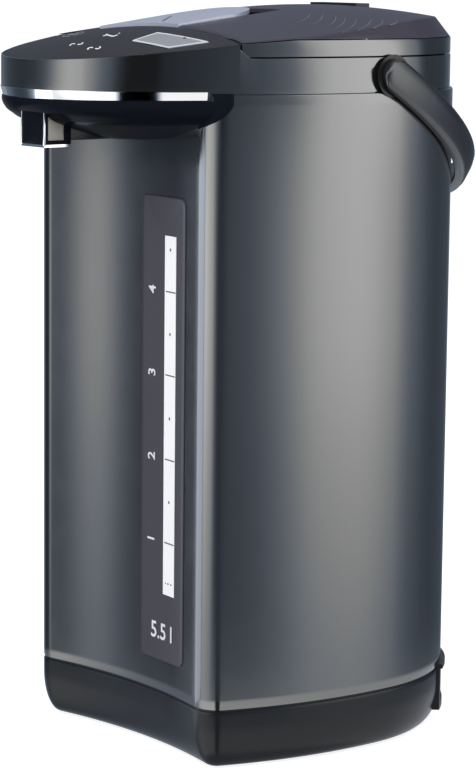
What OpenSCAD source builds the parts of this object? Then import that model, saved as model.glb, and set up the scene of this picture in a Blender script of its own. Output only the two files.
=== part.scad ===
// Electric thermo pot: a tall drink urn with a beaked head, a pumped spout, a hinged lid and a bail.
// Millimetres. The origin is under the centre of the round back, on the surface it stands on.
// The spout points along -Y and +Z is up.

/* [Body outline] */
// Radius of the round back of the body
body_r = 100; // [96:0.5:106]
// Sideways distance of each front ridge from the middle
ridge_x = 69.6; // [66:0.2:73]
// Forward distance of each front ridge
ridge_y = 94.6; // [91:0.2:98]
// Rounding radius of each front ridge
ridge_r = 13.8; // [13:0.1:16]
// Depth of the hollow front between the ridges
scoop_sag = 7.6; // [5:0.2:10]
// Radius of the long, nearly flat flanks
side_r = 258; // [230:1:300]

/* [Heights] */
// Height of the rubber feet
foot_h = 1.2; // [1:0.1:3]
// Height of the black base, feet included
base_top = 34.5; // [32:0.5:38]
// Height of the painted steel body
body_h = 331.4; // [325:0.1:340]
// Height of the collar above the body
collar_h = 18.7; // [17.5:0.1:20]
// Height of the lid's rim
rim_h = 9.7; // [8.5:0.1:11]
// Height of the seams that part the collar, the rim and the body
seam = 0.6; // [0.3:0.1:1]

/* [Walls] */
// Thickness of the painted steel
jacket_t = 1; // [0.8:0.1:1.5]
// Wall of the moulded base
base_wall = 3; // [2.5:0.1:4]
// How far the base draws in at its foot
base_round = 10; // [8:0.5:10.5]
// Height over which the base draws in
base_rise = 24; // [16:1:26]
// Wall of the head and the collar
head_wall = 2.5; // [2:0.1:3]
// How far the collar and the lid stand in from the body
collar_inset = 1.8; // [1:0.1:2.4]
// Width of the body's folded upper edge
hem_w = 9; // [8.8:0.1:11]

/* [Head] */
// Radius of the head's rounded tip
tip_r = 74.2; // [70:0.2:78]
// Forward distance of the centre of that radius
tip_y = 98.5; // [94:0.5:102]
// Radius of the curve that leads from the flank to the tip
blend_r = 139.5; // [130:0.5:150]
// Height of the top face at its datum line, over the body's upper edge
panel_rise = 25.4; // [24:0.1:27]
// Slope of the top face, in degrees
panel_tilt = 6.6; // [6:0.1:8]
// Thickness of the control panel at its edge
panel_t = 2; // [1.8:0.1:2.3]
// How far the control panel swells over its edge
panel_crown = 6; // [4:0.1:6.5]
// Height of the bright band round the head
band_h = 5.2; // [4:0.1:6]
// Depth of the band under the body's upper edge
band_drop = 3.6; // [2:0.1:4.5]
// Thickness of the bright band
band_t = 1.4; // [1:0.1:1.8]
// How far the band stands proud of the head
band_out = 0.5; // [0:0.1:0.8]
// Depth of the hull under the head
hull_h = 24; // [22:0.5:25]
// Wall of that hull
hull_t = 2; // [1.6:0.1:2.6]

/* [Spout] */
// Width of the spout's hood
spout_w = 21; // [18:0.5:23]
// Depth of the hood, front to back
spout_d = 17.5; // [15:0.5:19]
// Forward distance of the hood's front face
spout_y = 168; // [166:0.5:168.5]
// Distance of the hood's mouth under the body's upper edge
spout_drop = 28; // [27.5:0.5:33]
// Wall of the hood
spout_t = 1.6; // [1.2:0.1:2]
// Width of the front cover that carries the hood
cover_w = 43; // [36:1:46]

/* [Controls] */
// Width of the dispense button along its rear edge
button_w1 = 40; // [36:0.5:44]
// Width of the button along its front edge
button_w2 = 28.8; // [26:0.2:32]
// Depth of the button, front to back
button_d = 19; // [16:0.2:21]
// Sideways place of the button's middle
button_x = 44.4; // [42:0.2:46]
// Forward place of the button's middle
button_y = 113; // [111:0.2:114]
// Turn of the button on the panel, in degrees
button_turn = 0; // [-4:1:2]
// Travel of the button
button_travel = 1.2; // [0.8:0.1:1.4]
// Width of the bright frame round the button
bezel_w = 1.3; // [1:0.1:2]

/* [Lid] */
// Radius of the lid's hollow front edge
lid_front_r = 316; // [300:2:330]
// Forward distance of the middle of that edge
lid_front_y = 83; // [82:0.5:84]
// Gap between the lid and the head
lid_gap = 1.2; // [1:0.1:1.6]
// Wall of the lid's rim
rim_t = 3; // [2.5:0.1:3.5]
// Thickness of the lid's crowned cover
lid_t = 2.2; // [1.8:0.1:2.8]
// Radius of the mouth that the lid's plug closes
mouth_r = 72; // [70:0.5:73]
// Backward distance of the mouth's centre
mouth_y = 12; // [11:0.5:13]
// Gap between the plug and the mouth
plug_gap = 1.5; // [1.4:0.1:2]
// Depth of the plug under the body's upper edge
plug_drop = 2.8; // [2:0.1:3.5]
// Distance of the lid's hinge pin in from the back of the body
hinge_in = 6; // [5.6:0.1:7]
// Radius of the lid's hinge pin
hinge_pin_r = 1.95; // [1.5:0.05:2.2]
// Wall of the hinge knuckles round the pin's bore
knuckle_t = 2.2; // [2:0.1:2.5]

/* [Lever] */
// Width of the lid lever
lever_w = 66; // [60:1:68]
// Sideways place of the lever's middle
lever_x = -20; // [-22:1:-16]
// Length of the lever
lever_l = 66; // [62:1:72]
// Corner radius of the lever's free end
lever_round = 26; // [18:1:28]
// Radius of the lever's pin
lever_pin_r = 1.45; // [1.2:0.05:1.6]

/* [Handle] */
// Distance of the middle of each handle arm from the body
bail_gap = 4; // [3.9:0.1:5]
// Reach of the handle from its pivots
bail_l = 131; // [128:1:140]
// Thickness of the handle's arms
bail_t = 5; // [4.5:0.1:5.4]
// Width of the handle's strap
bail_b = 18.4; // [16:0.2:20]
// Extra thickness of the grip
grip_t = 3; // [2:0.5:7]
// How far the resting handle points below the horizontal, in degrees
bail_tilt = 31; // [28:1:34]
// Forward distance of the handle's pivots
pivot_y = 1.5; // [-1:0.5:2]
// Height of the pivots over the body's upper edge
pivot_rise = 8.8; // [8.5:0.1:9.3]
// Radius of the pivot pins
pivot_r = 4; // [3:0.1:5]

/* [Gauge] */
// Sideways place of the gauge plate's middle
gauge_x = 30.7; // [29:0.1:32]
// Width of the gauge plate
gauge_w = 44; // [42:0.2:46]
// Height of the gauge plate
gauge_h = 257; // [250:1:265]
// Height of the gauge plate's lower edge
gauge_z = 52.5; // [49:0.5:56]
// Thickness of the gauge plate
gauge_t = 0.8; // [0.6:0.1:1.2]
// Width of the gauge's window
window_w = 11.5; // [10.5:0.5:12.5]
// Distance from the plate's lower edge to the window
window_low = 37.9; // [35:0.1:41]
// Distance from the window to the plate's upper edge
window_high = 21.2; // [18:0.1:26]
// Outer radius of the glass level tube
tube_r = 4.5; // [4:0.1:5]

/* [Water side] */
// Distance from the body's outer face to the pot's bore
pot_gap = 16.8; // [16:0.1:20]
// Wall of the inner pot
pot_t = 1; // [0.6:0.1:1.2]
// Height of the inside of the pot's floor
pot_floor = 72.5; // [71.5:0.5:75.5]
// Width of the pot's rolled rim
pot_rim = 7.8; // [7.4:0.1:8.4]
// Outer radius of the water nipples
nipple_r = 5; // [4.5:0.1:5.5]
// Wall of the hoses
hose_t = 2; // [1.5:0.1:2.5]
// Outer radius of the pump's housing
pump_r = 20; // [19:0.5:21]
// Radius of the impeller
impeller_r = 14.5; // [13:0.5:15]
// Radius of the pump's motor
motor_r = 15; // [13:0.5:15.5]
// Height of the pump's motor
motor_h = 26; // [25:0.5:27]

/* [Power inlet] */
// Direction of the power inlet, in degrees from +X
inlet_turn = 50; // [46:1:54]
// Width of the power inlet
inlet_w = 46; // [44:1:54]
// Height of the power inlet
inlet_h = 25; // [23:0.5:25]
// Depth of the socket's recess
inlet_d = 9; // [7:0.5:10]
// Radius of the inlet's contact pins
contact_r = 1.6; // [1.2:0.1:2]

/* [Hidden] */
$fn = 64;

// Clearances: a running fit, a slip fit, and the step that cuts run past a face
run_gap = 0.05;
slip = 0.3;
past = 1;

// Sizes that follow from the others
pot_r = body_r - pot_gap;
bail_a = body_r + bail_gap;
hinge_y = body_r - hinge_in;
window_z = gauge_z + window_low;
window_h = gauge_h - window_low - window_high;

// Levels
jacket_top = base_top + body_h;
collar_top = jacket_top + collar_h;
rim_bottom = collar_top + seam;
rim_top = collar_top + rim_h;
hem_t = 1;
pot_rim_t = 1;
deck_bottom = jacket_top + pot_rim_t;
deck_t = 3;
deck_top = deck_bottom + deck_t;
band_bottom = jacket_top - band_drop;
band_top = band_bottom + band_h;
sky = jacket_top + 80;

// Body outline
side_c = meet([0, 0], side_r - body_r, [ridge_x, -ridge_y], side_r - ridge_r, -1);
scoop_r = (ridge_x * ridge_x + scoop_sag * scoop_sag) / (2 * scoop_sag) - ridge_r;
scoop_c = [0, -(scoop_r + ridge_y + ridge_r - scoop_sag)];
tip_c = [0, -tip_y];
blend_c = meet(side_c, side_r - blend_r, tip_c, blend_r - tip_r, 1);
side_from = ang(-side_c);
ridge_from = ang([ridge_x, -ridge_y] - side_c);
blend_from = ang(blend_c - side_c);
tip_from = ang(tip_c - blend_c);
band_end_y = on_arc(side_c, side_r, blend_from)[1];

// Top face: a slope that starts at its datum line, crowned sideways, falling away at the back
datum_y = -100;
panel_z = jacket_top + panel_rise;
slope = tan(panel_tilt);
crown = 6.9;
crown_x = 90;
lid_lift = panel_crown + 0.5;
fall_y = -3;
fall = 4.6;
fall_run = 50;
peak_y = fall_y + slope * fall_run * fall_run / (2 * fall);

function ang(v) = atan2(v[1], v[0]);
function on_arc(c, r, a) = c + r * [cos(a), sin(a)];
function arc(c, r, a0, a1, n) = [for (k = [1:n]) on_arc(c, r, a0 + (a1 - a0) * k / n)];
// The head's tip, a distance i inside its face, swelling by the collar's inset from the flanks to the nose
function swell(t) = let (u = min(1, 2 * t)) u * u * (3 - 2 * u);
function tip_arc(i, n) = [for (k = [1:n])
    on_arc(tip_c, tip_r - i - collar_inset * (1 - swell(k / n)), tip_from + (-90 - tip_from) * k / n)];
// Where two circles meet, on the side s of the line between their centres
function meet(c1, r1, c2, r2, s) =
    let (v = c2 - c1, d = norm(v), a = (d * d + r1 * r1 - r2 * r2) / (2 * d))
    c1 + a * v / d + s * sqrt(max(0, r1 * r1 - a * a)) * [-v[1], v[0]] / d;
// A full outline from its right half, which runs from the back to the front
function whole(half) =
    concat(half, [for (k = [len(half) - 2:-1:1]) [-half[k][0], half[k][1]]]);
// The body's outline, a distance i inside its outer face
function body_pts(i) = whole(concat([[0, body_r - i]],
    arc([0, 0], body_r - i, 90, side_from, 12),
    arc(side_c, side_r - i, side_from, ridge_from, 4),
    arc([ridge_x, -ridge_y], ridge_r - i, ridge_from, ang(scoop_c - [ridge_x, -ridge_y]), 5),
    arc(scoop_c, scoop_r + i, ang([ridge_x, -ridge_y] - scoop_c), 90, 4)));
// The outline of the collar and the head together
function head_pts(i) = let (j = i + collar_inset) whole(concat([[0, body_r - j]],
    arc([0, 0], body_r - j, 90, side_from, 12),
    arc(side_c, side_r - j, side_from, blend_from, 5),
    arc(blend_c, blend_r - j, blend_from, tip_from, 4),
    tip_arc(i, 7)));
// The front of the head alone, closed by a straight line through the body
nose_y = -84;
function nose_half() = concat(
    [[0, nose_y + 3]], [[on_flank(nose_y), nose_y]],
    arc(side_c, side_r - collar_inset, flank_ang(nose_y), blend_from, 2),
    arc(blend_c, blend_r - collar_inset, blend_from, tip_from, 4),
    tip_arc(0, 7));
function flank_ang(y) = asin((y - side_c[1]) / (side_r - collar_inset));
function on_flank(y) = side_c[0] + (side_r - collar_inset) * cos(flank_ang(y));
// The lid's outline: the collar's, cut off by the hollow front edge
lid_front_c = [0, -lid_front_y - lid_front_r];
function lid_pts(i) = let (
    rs = side_r - collar_inset - i,
    rf = lid_front_r + lid_gap + i,
    p = meet(lid_front_c, rf, side_c, rs, -1))
    whole(concat([[0, body_r - collar_inset - i]],
    arc([0, 0], body_r - collar_inset - i, 90, side_from, 12),
    arc(side_c, rs, side_from, ang(p - side_c), 6),
    arc(lid_front_c, rf, ang(p - lid_front_c), 90, 6)));
// Height of the lid's crowned face
function top_z(x, y) = panel_z + lid_lift + slope * (y - datum_y) - crown * pow(x / crown_x, 2)
    - (y > fall_y ? fall * pow((y - fall_y) / fall_run, 2) : 0);
// Height of the rim's upper edge
function edge_z(p) = min(rim_top, top_z(p[0], p[1]) - 0.6);
function lift(pts, z) = [for (p = pts) [p[0], p[1], z]];
function shrink(pts, c, k) = [for (p = pts) [c[0] + k * (p[0] - c[0]), c[1] + k * (p[1] - c[1])]];

// A solid through rings of points, each ring clockwise from above, closed by two flat caps
module loft(rings) {
    n = len(rings[0]);
    m = len(rings);
    polyhedron(
        points = [for (r = rings) for (p = r) p],
        faces = concat(
            [[for (j = [n - 1:-1:0]) j]],
            [for (k = [0:m - 2]) for (j = [0:n - 1]) [k * n + j, k * n + (j + 1) % n, (k + 1) * n + j]],
            [for (k = [0:m - 2]) for (j = [0:n - 1])
                [k * n + (j + 1) % n, (k + 1) * n + (j + 1) % n, (k + 1) * n + j]],
            [[for (j = [0:n - 1]) (m - 1) * n + j]]));
}

// A closed band through rings of points, the last joined to the first
module band(rings) {
    n = len(rings[0]);
    m = len(rings);
    polyhedron(
        points = [for (r = rings) for (p = r) p],
        faces = concat(
            [for (k = [0:m - 1]) for (j = [0:n - 1])
                [k * n + j, k * n + (j + 1) % n, ((k + 1) % m) * n + j]],
            [for (k = [0:m - 1]) for (j = [0:n - 1])
                [k * n + (j + 1) % n, ((k + 1) % m) * n + (j + 1) % n, ((k + 1) % m) * n + j]]));
}

module prism(pts, z0, z1) {
    translate([0, 0, z0]) linear_extrude(z1 - z0) polygon(pts);
}

module wall_ring(outer, inner, z0, z1) {
    translate([0, 0, z0]) linear_extrude(z1 - z0) difference() {
        polygon(outer);
        polygon(inner);
    }
}

module tube(r1, r2, h) {
    difference() {
        cylinder(r = r1, h = h);
        translate([0, 0, -past]) cylinder(r = r2, h = h + 2 * past);
    }
}

// A box from one corner to the other
module span(a, b) {
    translate(a) cube(b - a);
}

// A box centred on x and y, standing on z
module slab(x, y, z, w, d, h) {
    translate([x - w / 2, y - d / 2, z]) cube([w, d, h]);
}

// A bar of round ends, lying flat
module lozenge(l, w, h) {
    union() {
        slab(0, 0, 0, l - w, w, h);
        for (s = [-1, 1]) translate([s * (l - w) / 2, 0, 0]) cylinder(d = w, h = h);
    }
}

// Places children on the sloping top face: x across, y up the slope, z out of it
module on_panel() {
    translate([0, datum_y, panel_z]) rotate([panel_tilt, 0, 0]) children();
}

// All that lies above the sloping top face lowered by d
module above_panel(d) {
    on_panel() translate([-2 * body_r, -2 * body_r, -d]) cube([4 * body_r, 4 * body_r, 120]);
}

// The region of the head in front of the lid
module nose_zone(i, z0, z1) {
    translate([0, lid_front_c[1], z0]) cylinder(r = lid_front_r - i, h = z1 - z0, $fn = 180);
}

// The panel's outline: the head's in front of the lid, a little inside its edge
panel_in = 0.8;
panel_side_r = side_r - collar_inset - panel_in;
panel_p = meet(lid_front_c, lid_front_r, side_c, panel_side_r, -1);
function rear_y(x) = lid_front_c[1] + sqrt(lid_front_r * lid_front_r - x * x);
panel_pts = whole(concat([[0, rear_y(0)]],
    arc(lid_front_c, lid_front_r, 90, ang(panel_p - lid_front_c), 6),
    arc(side_c, panel_side_r, ang(panel_p - side_c), blend_from, 1),
    arc(blend_c, blend_r - collar_inset - panel_in, blend_from, tip_from, 4),
    tip_arc(panel_in, 7)));
// The same outline drawn in to a share k of its size, still on the lid's edge at the back
function panel_ring(k, d) = [for (p = panel_pts)
    let (x = k * p[0], y = rear_y(x) + k * (p[1] - rear_y(p[0])))
    [x, y, panel_z + slope * (y - datum_y) + panel_crown * (1 - k * k) + d]];
// All that lies under the crowned panel's face raised by d
module crown_body(d) {
    loft(concat([lift(panel_pts, jacket_top)],
        [for (k = [1, 0.88, 0.72, 0.52, 0.3, 0.08]) panel_ring(k, d)]));
}

// A patch of the crowned face between two depths
module crown_slab(d0, d1, x0, x1, y0, y1, lean = 0) {
    nx = 8;
    ny = 10;
    pts = [for (d = [d0, d1]) for (j = [0:ny]) for (k = [0:nx])
        let (x = x0 + (x1 - x0) * k / nx, y = y0 + (y1 - y0) * j / ny) [x, y,
            top_z(x, y) + d + lean * (y - y0)]];
    w = nx + 1;
    top = w * (ny + 1);
    polyhedron(points = pts, faces = concat(
        [for (j = [0:ny - 1]) for (k = [0:nx - 1]) [j * w + k, j * w + k + 1, (j + 1) * w + k]],
        [for (j = [0:ny - 1]) for (k = [0:nx - 1])
            [j * w + k + 1, (j + 1) * w + k + 1, (j + 1) * w + k]],
        [for (j = [0:ny - 1]) for (k = [0:nx - 1])
            [top + j * w + k, top + (j + 1) * w + k, top + j * w + k + 1]],
        [for (j = [0:ny - 1]) for (k = [0:nx - 1])
            [top + j * w + k + 1, top + (j + 1) * w + k, top + (j + 1) * w + k + 1]],
        [for (k = [0:nx - 1]) [k, top + k, top + k + 1]],
        [for (k = [0:nx - 1]) [k, top + k + 1, k + 1]],
        [for (k = [0:nx - 1]) [ny * w + k, ny * w + k + 1, top + ny * w + k + 1]],
        [for (k = [0:nx - 1]) [ny * w + k, top + ny * w + k + 1, top + ny * w + k]],
        [for (j = [0:ny - 1]) [j * w, (j + 1) * w, top + (j + 1) * w]],
        [for (j = [0:ny - 1]) [j * w, top + (j + 1) * w, top + j * w]],
        [for (j = [0:ny - 1]) [j * w + nx, top + (j + 1) * w + nx, (j + 1) * w + nx]],
        [for (j = [0:ny - 1]) [j * w + nx, top + j * w + nx, top + (j + 1) * w + nx]]));
}

// A hose along a route of points, with a round bore
hose_sides = 10;
function unit(v) = v / norm(v);
function heading(path, k) = unit(path[min(k + 1, len(path) - 1)] - path[max(k - 1, 0)]);
function hoop(c, t, r) = let (u = unit(cross(t, [1, -0.6, 0])), v = cross(t, u))
    [for (j = [0:hose_sides - 1]) c + r * (cos(360 * j / hose_sides) * u + sin(360 * j / hose_sides) * v)];
module hose(path, ro, ri) {
    m = len(path);
    n = hose_sides;
    outer = [for (k = [0:m - 1]) each hoop(path[k], heading(path, k), ro)];
    inner = [for (k = [0:m - 1]) each hoop(path[k], heading(path, k), ri)];
    b = m * n;
    e = (m - 1) * n;
    polyhedron(points = concat(outer, inner), faces = concat(
        [for (k = [0:m - 2]) for (j = [0:n - 1]) [k * n + j, k * n + (j + 1) % n, (k + 1) * n + j]],
        [for (k = [0:m - 2]) for (j = [0:n - 1])
            [k * n + (j + 1) % n, (k + 1) * n + (j + 1) % n, (k + 1) * n + j]],
        [for (k = [0:m - 2]) for (j = [0:n - 1])
            [b + k * n + j, b + (k + 1) * n + j, b + k * n + (j + 1) % n]],
        [for (k = [0:m - 2]) for (j = [0:n - 1])
            [b + k * n + (j + 1) % n, b + (k + 1) * n + j, b + (k + 1) * n + (j + 1) % n]],
        [for (j = [0:n - 1]) [j, b + j, (j + 1) % n]],
        [for (j = [0:n - 1]) [(j + 1) % n, b + j, b + (j + 1) % n]],
        [for (j = [0:n - 1]) [e + j, e + (j + 1) % n, b + e + j]],
        [for (j = [0:n - 1]) [e + (j + 1) % n, b + e + (j + 1) % n, b + e + j]]));
}

// ---- Base ----

floor_t = 4.5;
cover_t = 2.5;
cover_in = 11;
cover_top = foot_h + cover_t;
ledge_in = 13;
screw_r = 1.5;
boss_r = 5;
boss_h = 16;
screw_head_r = 3.2;
screw_head_h = 1.6;
// Places of the bosses: a pair behind the ridges, a pair on the flanks and one at the back
boss_places = [[ridge_x + 7.4, -ridge_y + 24], [-ridge_x - 7.4, -ridge_y + 24],
    [body_r - 15.8, 12], [15.8 - body_r, 12], [0, body_r - 15]];
inlet_z = base_top - inlet_h - 1.2;
inlet_out = body_r + 1.3;
inlet_in = body_r - inlet_d - 6;

module at_inlet() {
    rotate([0, 0, inlet_turn]) children();
}

// The base draws in towards its foot along a quarter of an ellipse
function draw_in(a) = base_round * (1 - sin(a));
function draw_z(a) = foot_h + base_rise * (1 - cos(a));

module base_shell() {
    lip_h = 5;
    lip_in = jacket_t + 0.2;
    step_h = 1;
    step_in = 0.5;
    color([0.10, 0.105, 0.11]) difference() {
        union() {
            difference() {
                loft(concat(
                    [for (a = [0:18:90]) lift(body_pts(draw_in(a)), draw_z(a))],
                    [lift(body_pts(0), base_top - step_h)]));
                for (a = [36:18:90]) prism(body_pts(base_wall + draw_in(a)), draw_z(a) + 0.2, base_top);
            }
            wall_ring(body_pts(step_in), body_pts(base_wall), base_top - step_h, base_top);
            wall_ring(body_pts(lip_in), body_pts(base_wall), base_top, base_top + lip_h);
            for (p = boss_places) translate([p[0], p[1], cover_top]) cylinder(r = boss_r, h = boss_h);
        }
        prism(body_pts(ledge_in), foot_h - past, foot_h + floor_t + past);
        prism(body_pts(cover_in - slip), foot_h - past, cover_top);
        for (p = boss_places) translate([p[0], p[1], foot_h])
            cylinder(r = screw_r, h = cover_t + boss_h - 2);
        at_inlet() span([inlet_in - slip, -inlet_w / 2 - slip, inlet_z - slip],
            [body_r + 5, inlet_w / 2 + slip, base_top + lip_h + past]);
    }
}

module bottom_cover() {
    post_r = 3;
    color([0.12, 0.12, 0.13]) difference() {
        union() {
            prism(body_pts(cover_in), foot_h, cover_top);
            for (p = board_posts) translate([p[0], p[1], cover_top])
                cylinder(r = post_r, h = board_z - cover_top);
        }
        for (p = boss_places) translate([p[0], p[1], foot_h - past]) {
            cylinder(r = screw_r + slip, h = cover_t + 2 * past);
            cylinder(r = screw_head_r + slip, h = screw_head_h + past);
        }
        for (k = [-3:3]) translate([vent_x, vent_y + k * 7, foot_h - past])
            lozenge(30, 3, cover_t + 2 * past);
    }
}

vent_x = -40;
vent_y = -45;
foot_r = 8;
module feet() {
    places = [[0, 0], [0.46, 0.62], [-0.46, 0.62], [0.6, -0.42], [-0.6, -0.42]];
    color([0.05, 0.05, 0.05]) for (p = places)
        translate([p[0] * body_r, p[1] * body_r, 0]) cylinder(r = foot_r, h = foot_h);
}

module cover_screws() {
    color([0.7, 0.7, 0.72]) for (p = boss_places) translate([p[0], p[1], foot_h]) {
        cylinder(r = screw_head_r, h = screw_head_h);
        cylinder(r = screw_r - run_gap, h = boss_h - 2);
    }
}

// ---- Body ----

hose_x = gauge_x + 6.9;
hose_y = -(body_r - 5.8);
hose_ro = tube_r + 0.4 + hose_t;
module outer_shell() {
    color([0.16, 0.19, 0.22]) difference() {
        union() {
            wall_ring(body_pts(0), body_pts(jacket_t), base_top, jacket_top);
            wall_ring(body_pts(jacket_t / 2), body_pts(hem_w), jacket_top - hem_t, jacket_top);
        }
        slab(hose_x, -body_r, window_z, window_w, 30, window_h);
        translate([hose_x, hose_y, jacket_top - hem_t - past])
            cylinder(r = hose_ro + slip, h = hem_t + 2 * past);
        at_inlet() span([inlet_in, -inlet_w / 2 - slip, base_top - past],
            [body_r + 5, inlet_w / 2 + slip, inlet_z + inlet_h + hood_t + slip]);
    }
}

pot_round = 6;
drain = [26, -54];
nipple_l = 10;
nipple_bore = nipple_r - 1.3;
pot_bottom = pot_floor - pot_t;
module inner_pot() {
    color([0.75, 0.76, 0.78]) difference() {
        union() {
            rotate_extrude($fn = 96) polygon([[0, pot_bottom], [pot_r + pot_t - pot_round, pot_bottom],
                [pot_r + pot_t, pot_bottom + pot_round], [pot_r + pot_t, jacket_top],
                [pot_r + pot_t + pot_rim, jacket_top], [pot_r + pot_t + pot_rim, deck_bottom],
                [pot_r, deck_bottom], [pot_r, pot_floor + pot_round],
                [pot_r - pot_round, pot_floor], [0, pot_floor]]);
            translate([drain[0], drain[1], pot_bottom - nipple_l]) cylinder(r = nipple_r, h = nipple_l);
        }
        translate([drain[0], drain[1], pot_bottom - nipple_l - past])
            cylinder(r = nipple_bore, h = nipple_l + pot_t + 2 * past);
    }
}

sleeve_t = 5;
module pot_insulation() {
    sleeve_from = pot_floor + 10;
    color([0.85, 0.83, 0.75]) translate([0, 0, sleeve_from])
        tube(pot_r + pot_t + slip + sleeve_t, pot_r + pot_t + slip, jacket_top - sleeve_from - 12);
}

heater_r = 44;
heater_t = 4;
module heater_plate() {
    color([0.6, 0.55, 0.45]) translate([0, 0, pot_bottom - heater_t]) union() {
        tube(heater_r, 12, heater_t);
        for (a = [150, 210]) rotate([0, 0, a]) slab(heater_r + 3, 0, 0, 12, 8, 1.5);
    }
}

thermostat_r = 8;
module thermostats() {
    h = 8;
    color([0.8, 0.78, 0.72]) for (a = [100, 190]) rotate([0, 0, a])
        translate([28, 0, pot_bottom - heater_t - h]) {
            cylinder(r = thermostat_r, h = h);
            for (s = [-1, 1]) slab(0, s * 5, -7, 6, 0.8, 8);
        }
}

// ---- Pump ----

motor_z = cover_top + 2;
motor_top = motor_z + motor_h;
pocket_h = 7;
pump_z = motor_top;
membrane_t = 1.5;
chamber_z = pump_z + pocket_h + membrane_t;
chamber_h = 8;
chamber_r = impeller_r + 2;
pump_lid_z = chamber_z + chamber_h;
pump_lid_t = 2;
outlet_z = chamber_z + chamber_h / 2;
shaft_r = 1;
spindle_r = 1.2;
magnet_r = 11;

module at_pump(z) {
    translate([drain[0], drain[1], z]) children();
}

module pump_bracket() {
    grip_h = 14;
    color([0.2, 0.2, 0.22]) at_pump(cover_top) difference() {
        union() {
            cylinder(r = motor_r + 2.5, h = grip_h);
            for (a = [45:90:315]) rotate([0, 0, a]) slab(motor_r + 5, 0, 0, 10, 8, 2);
        }
        translate([0, 0, motor_z - cover_top]) cylinder(r = motor_r + run_gap, h = grip_h);
    }
}

module pump_motor() {
    color([0.62, 0.63, 0.65]) at_pump(motor_z) difference() {
        cylinder(r = motor_r, h = motor_h);
        translate([0, 0, 4]) cylinder(r = shaft_r + run_gap, h = motor_h);
    }
}

magnet_z = motor_top + 1.5;
magnet_h = 4;
module motor_shaft() {
    color([0.8, 0.8, 0.82]) at_pump(motor_z + 4 + run_gap)
        cylinder(r = shaft_r, h = magnet_z + magnet_h - motor_z - 4 - run_gap);
}

module drive_magnet() {
    color([0.25, 0.25, 0.27]) at_pump(magnet_z) tube(magnet_r, shaft_r, magnet_h);
}

outlet_x = hose_x - drain[0];
module pump_housing() {
    color([0.9, 0.9, 0.88]) at_pump(pump_z) difference() {
        union() {
            cylinder(r = pump_r, h = pump_lid_z - pump_z);
            translate([outlet_x, 0, outlet_z - pump_z]) rotate([90, 0, 0])
                cylinder(r = nipple_r - 1, h = pump_r + 8);
        }
        translate([0, 0, -past]) cylinder(r = magnet_r + 1, h = pocket_h + past);
        difference() {
            translate([0, 0, chamber_z - pump_z]) cylinder(r = chamber_r, h = chamber_h + past);
            translate([0, 0, chamber_z - pump_z - past]) cylinder(r = spindle_r, h = chamber_h);
        }
        translate([outlet_x, 0, outlet_z - pump_z]) rotate([90, 0, 0])
            cylinder(r = nipple_bore - 1.2, h = pump_r + 10);
    }
}

module pump_cover() {
    color([0.9, 0.9, 0.88]) at_pump(pump_lid_z) difference() {
        union() {
            cylinder(r = pump_r, h = pump_lid_t);
            cylinder(r = nipple_r, h = pump_lid_t + 6);
        }
        translate([0, 0, -past]) cylinder(r = nipple_bore, h = pump_lid_t + 10);
    }
}

module impeller() {
    plate_t = 1.5;
    vane_h = 3.5;
    hub_r = 3.5;
    color([0.3, 0.45, 0.7]) at_pump(chamber_z + 0.6) difference() {
        union() {
            cylinder(r = impeller_r, h = plate_t);
            cylinder(r = hub_r, h = plate_t + vane_h);
            for (a = [0:60:300]) rotate([0, 0, a]) translate([hub_r - 0.5, -0.6, plate_t - 0.1])
                cube([impeller_r - hub_r - 0.5, 1.2, vane_h]);
        }
        translate([0, 0, -past]) cylinder(r = spindle_r + run_gap, h = plate_t + vane_h + 2 * past);
    }
}

module inlet_hose() {
    z0 = pump_lid_z + pump_lid_t + slip;
    color([0.88, 0.88, 0.86]) at_pump(z0)
        tube(nipple_r + run_gap + hose_t, nipple_r + run_gap, pot_bottom - heater_t / 4 - z0);
}

// ---- Level gauge ----

tube_z0 = window_z - 4;
tube_z1 = window_z + window_h + 38;
hose_ri = tube_r + 0.4;
lap = 8;
bend_r = 13;
module lower_hose() {
    start_y = drain[1] - pump_r - 1.5;
    straight = [[hose_x, start_y, outlet_z], [hose_x, hose_y + bend_r, outlet_z]];
    bend = [for (a = [15:15:90]) [hose_x, hose_y + bend_r * (1 - sin(a)),
        outlet_z + bend_r * (1 - cos(a))]];
    color([0.88, 0.88, 0.86])
        hose(concat(straight, bend, [[hose_x, hose_y, tube_z0 + lap]]), hose_ro, hose_ri);
}

module sight_tube() {
    color([0.8, 0.88, 0.9, 0.5]) translate([hose_x, hose_y, tube_z0])
        tube(tube_r, tube_r - 1.1, tube_z1 - tube_z0);
}

module gauge_holder() {
    z0 = window_z - 3 + lap;
    color([0.9, 0.9, 0.9]) difference() {
        intersection() {
            prism(body_pts(jacket_t), z0, window_z + window_h + 4);
            slab(hose_x, hose_y + tube_r + 1.5 - 10, z0 - past, window_w + 5, 20, window_h + 20);
        }
        translate([hose_x, hose_y, z0 - past]) cylinder(r = tube_r + run_gap, h = window_h + 20);
        slab(hose_x, hose_y - 10, z0 - past, 4, 20, window_h + 20);
    }
}

module gauge_plate() {
    corner = 4;
    color([0.20, 0.20, 0.21]) intersection() {
        wall_ring(body_pts(-gauge_t), body_pts(0), gauge_z - past, gauge_z + gauge_h + past);
        translate([gauge_x, 0, gauge_z + gauge_h / 2]) rotate([90, 0, 0]) linear_extrude(2 * body_r)
            difference() {
            union() {
                square([gauge_w, gauge_h - 2 * corner], center = true);
                square([gauge_w - 2 * corner, gauge_h], center = true);
                for (sx = [-1, 1]) for (sy = [-1, 1])
                    translate([sx * (gauge_w / 2 - corner), sy * (gauge_h / 2 - corner)])
                        circle(r = corner);
            }
            translate([hose_x - gauge_x, window_z + window_h / 2 - gauge_z - gauge_h / 2])
                square([window_w, window_h], center = true);
        }
    }
}

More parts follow.
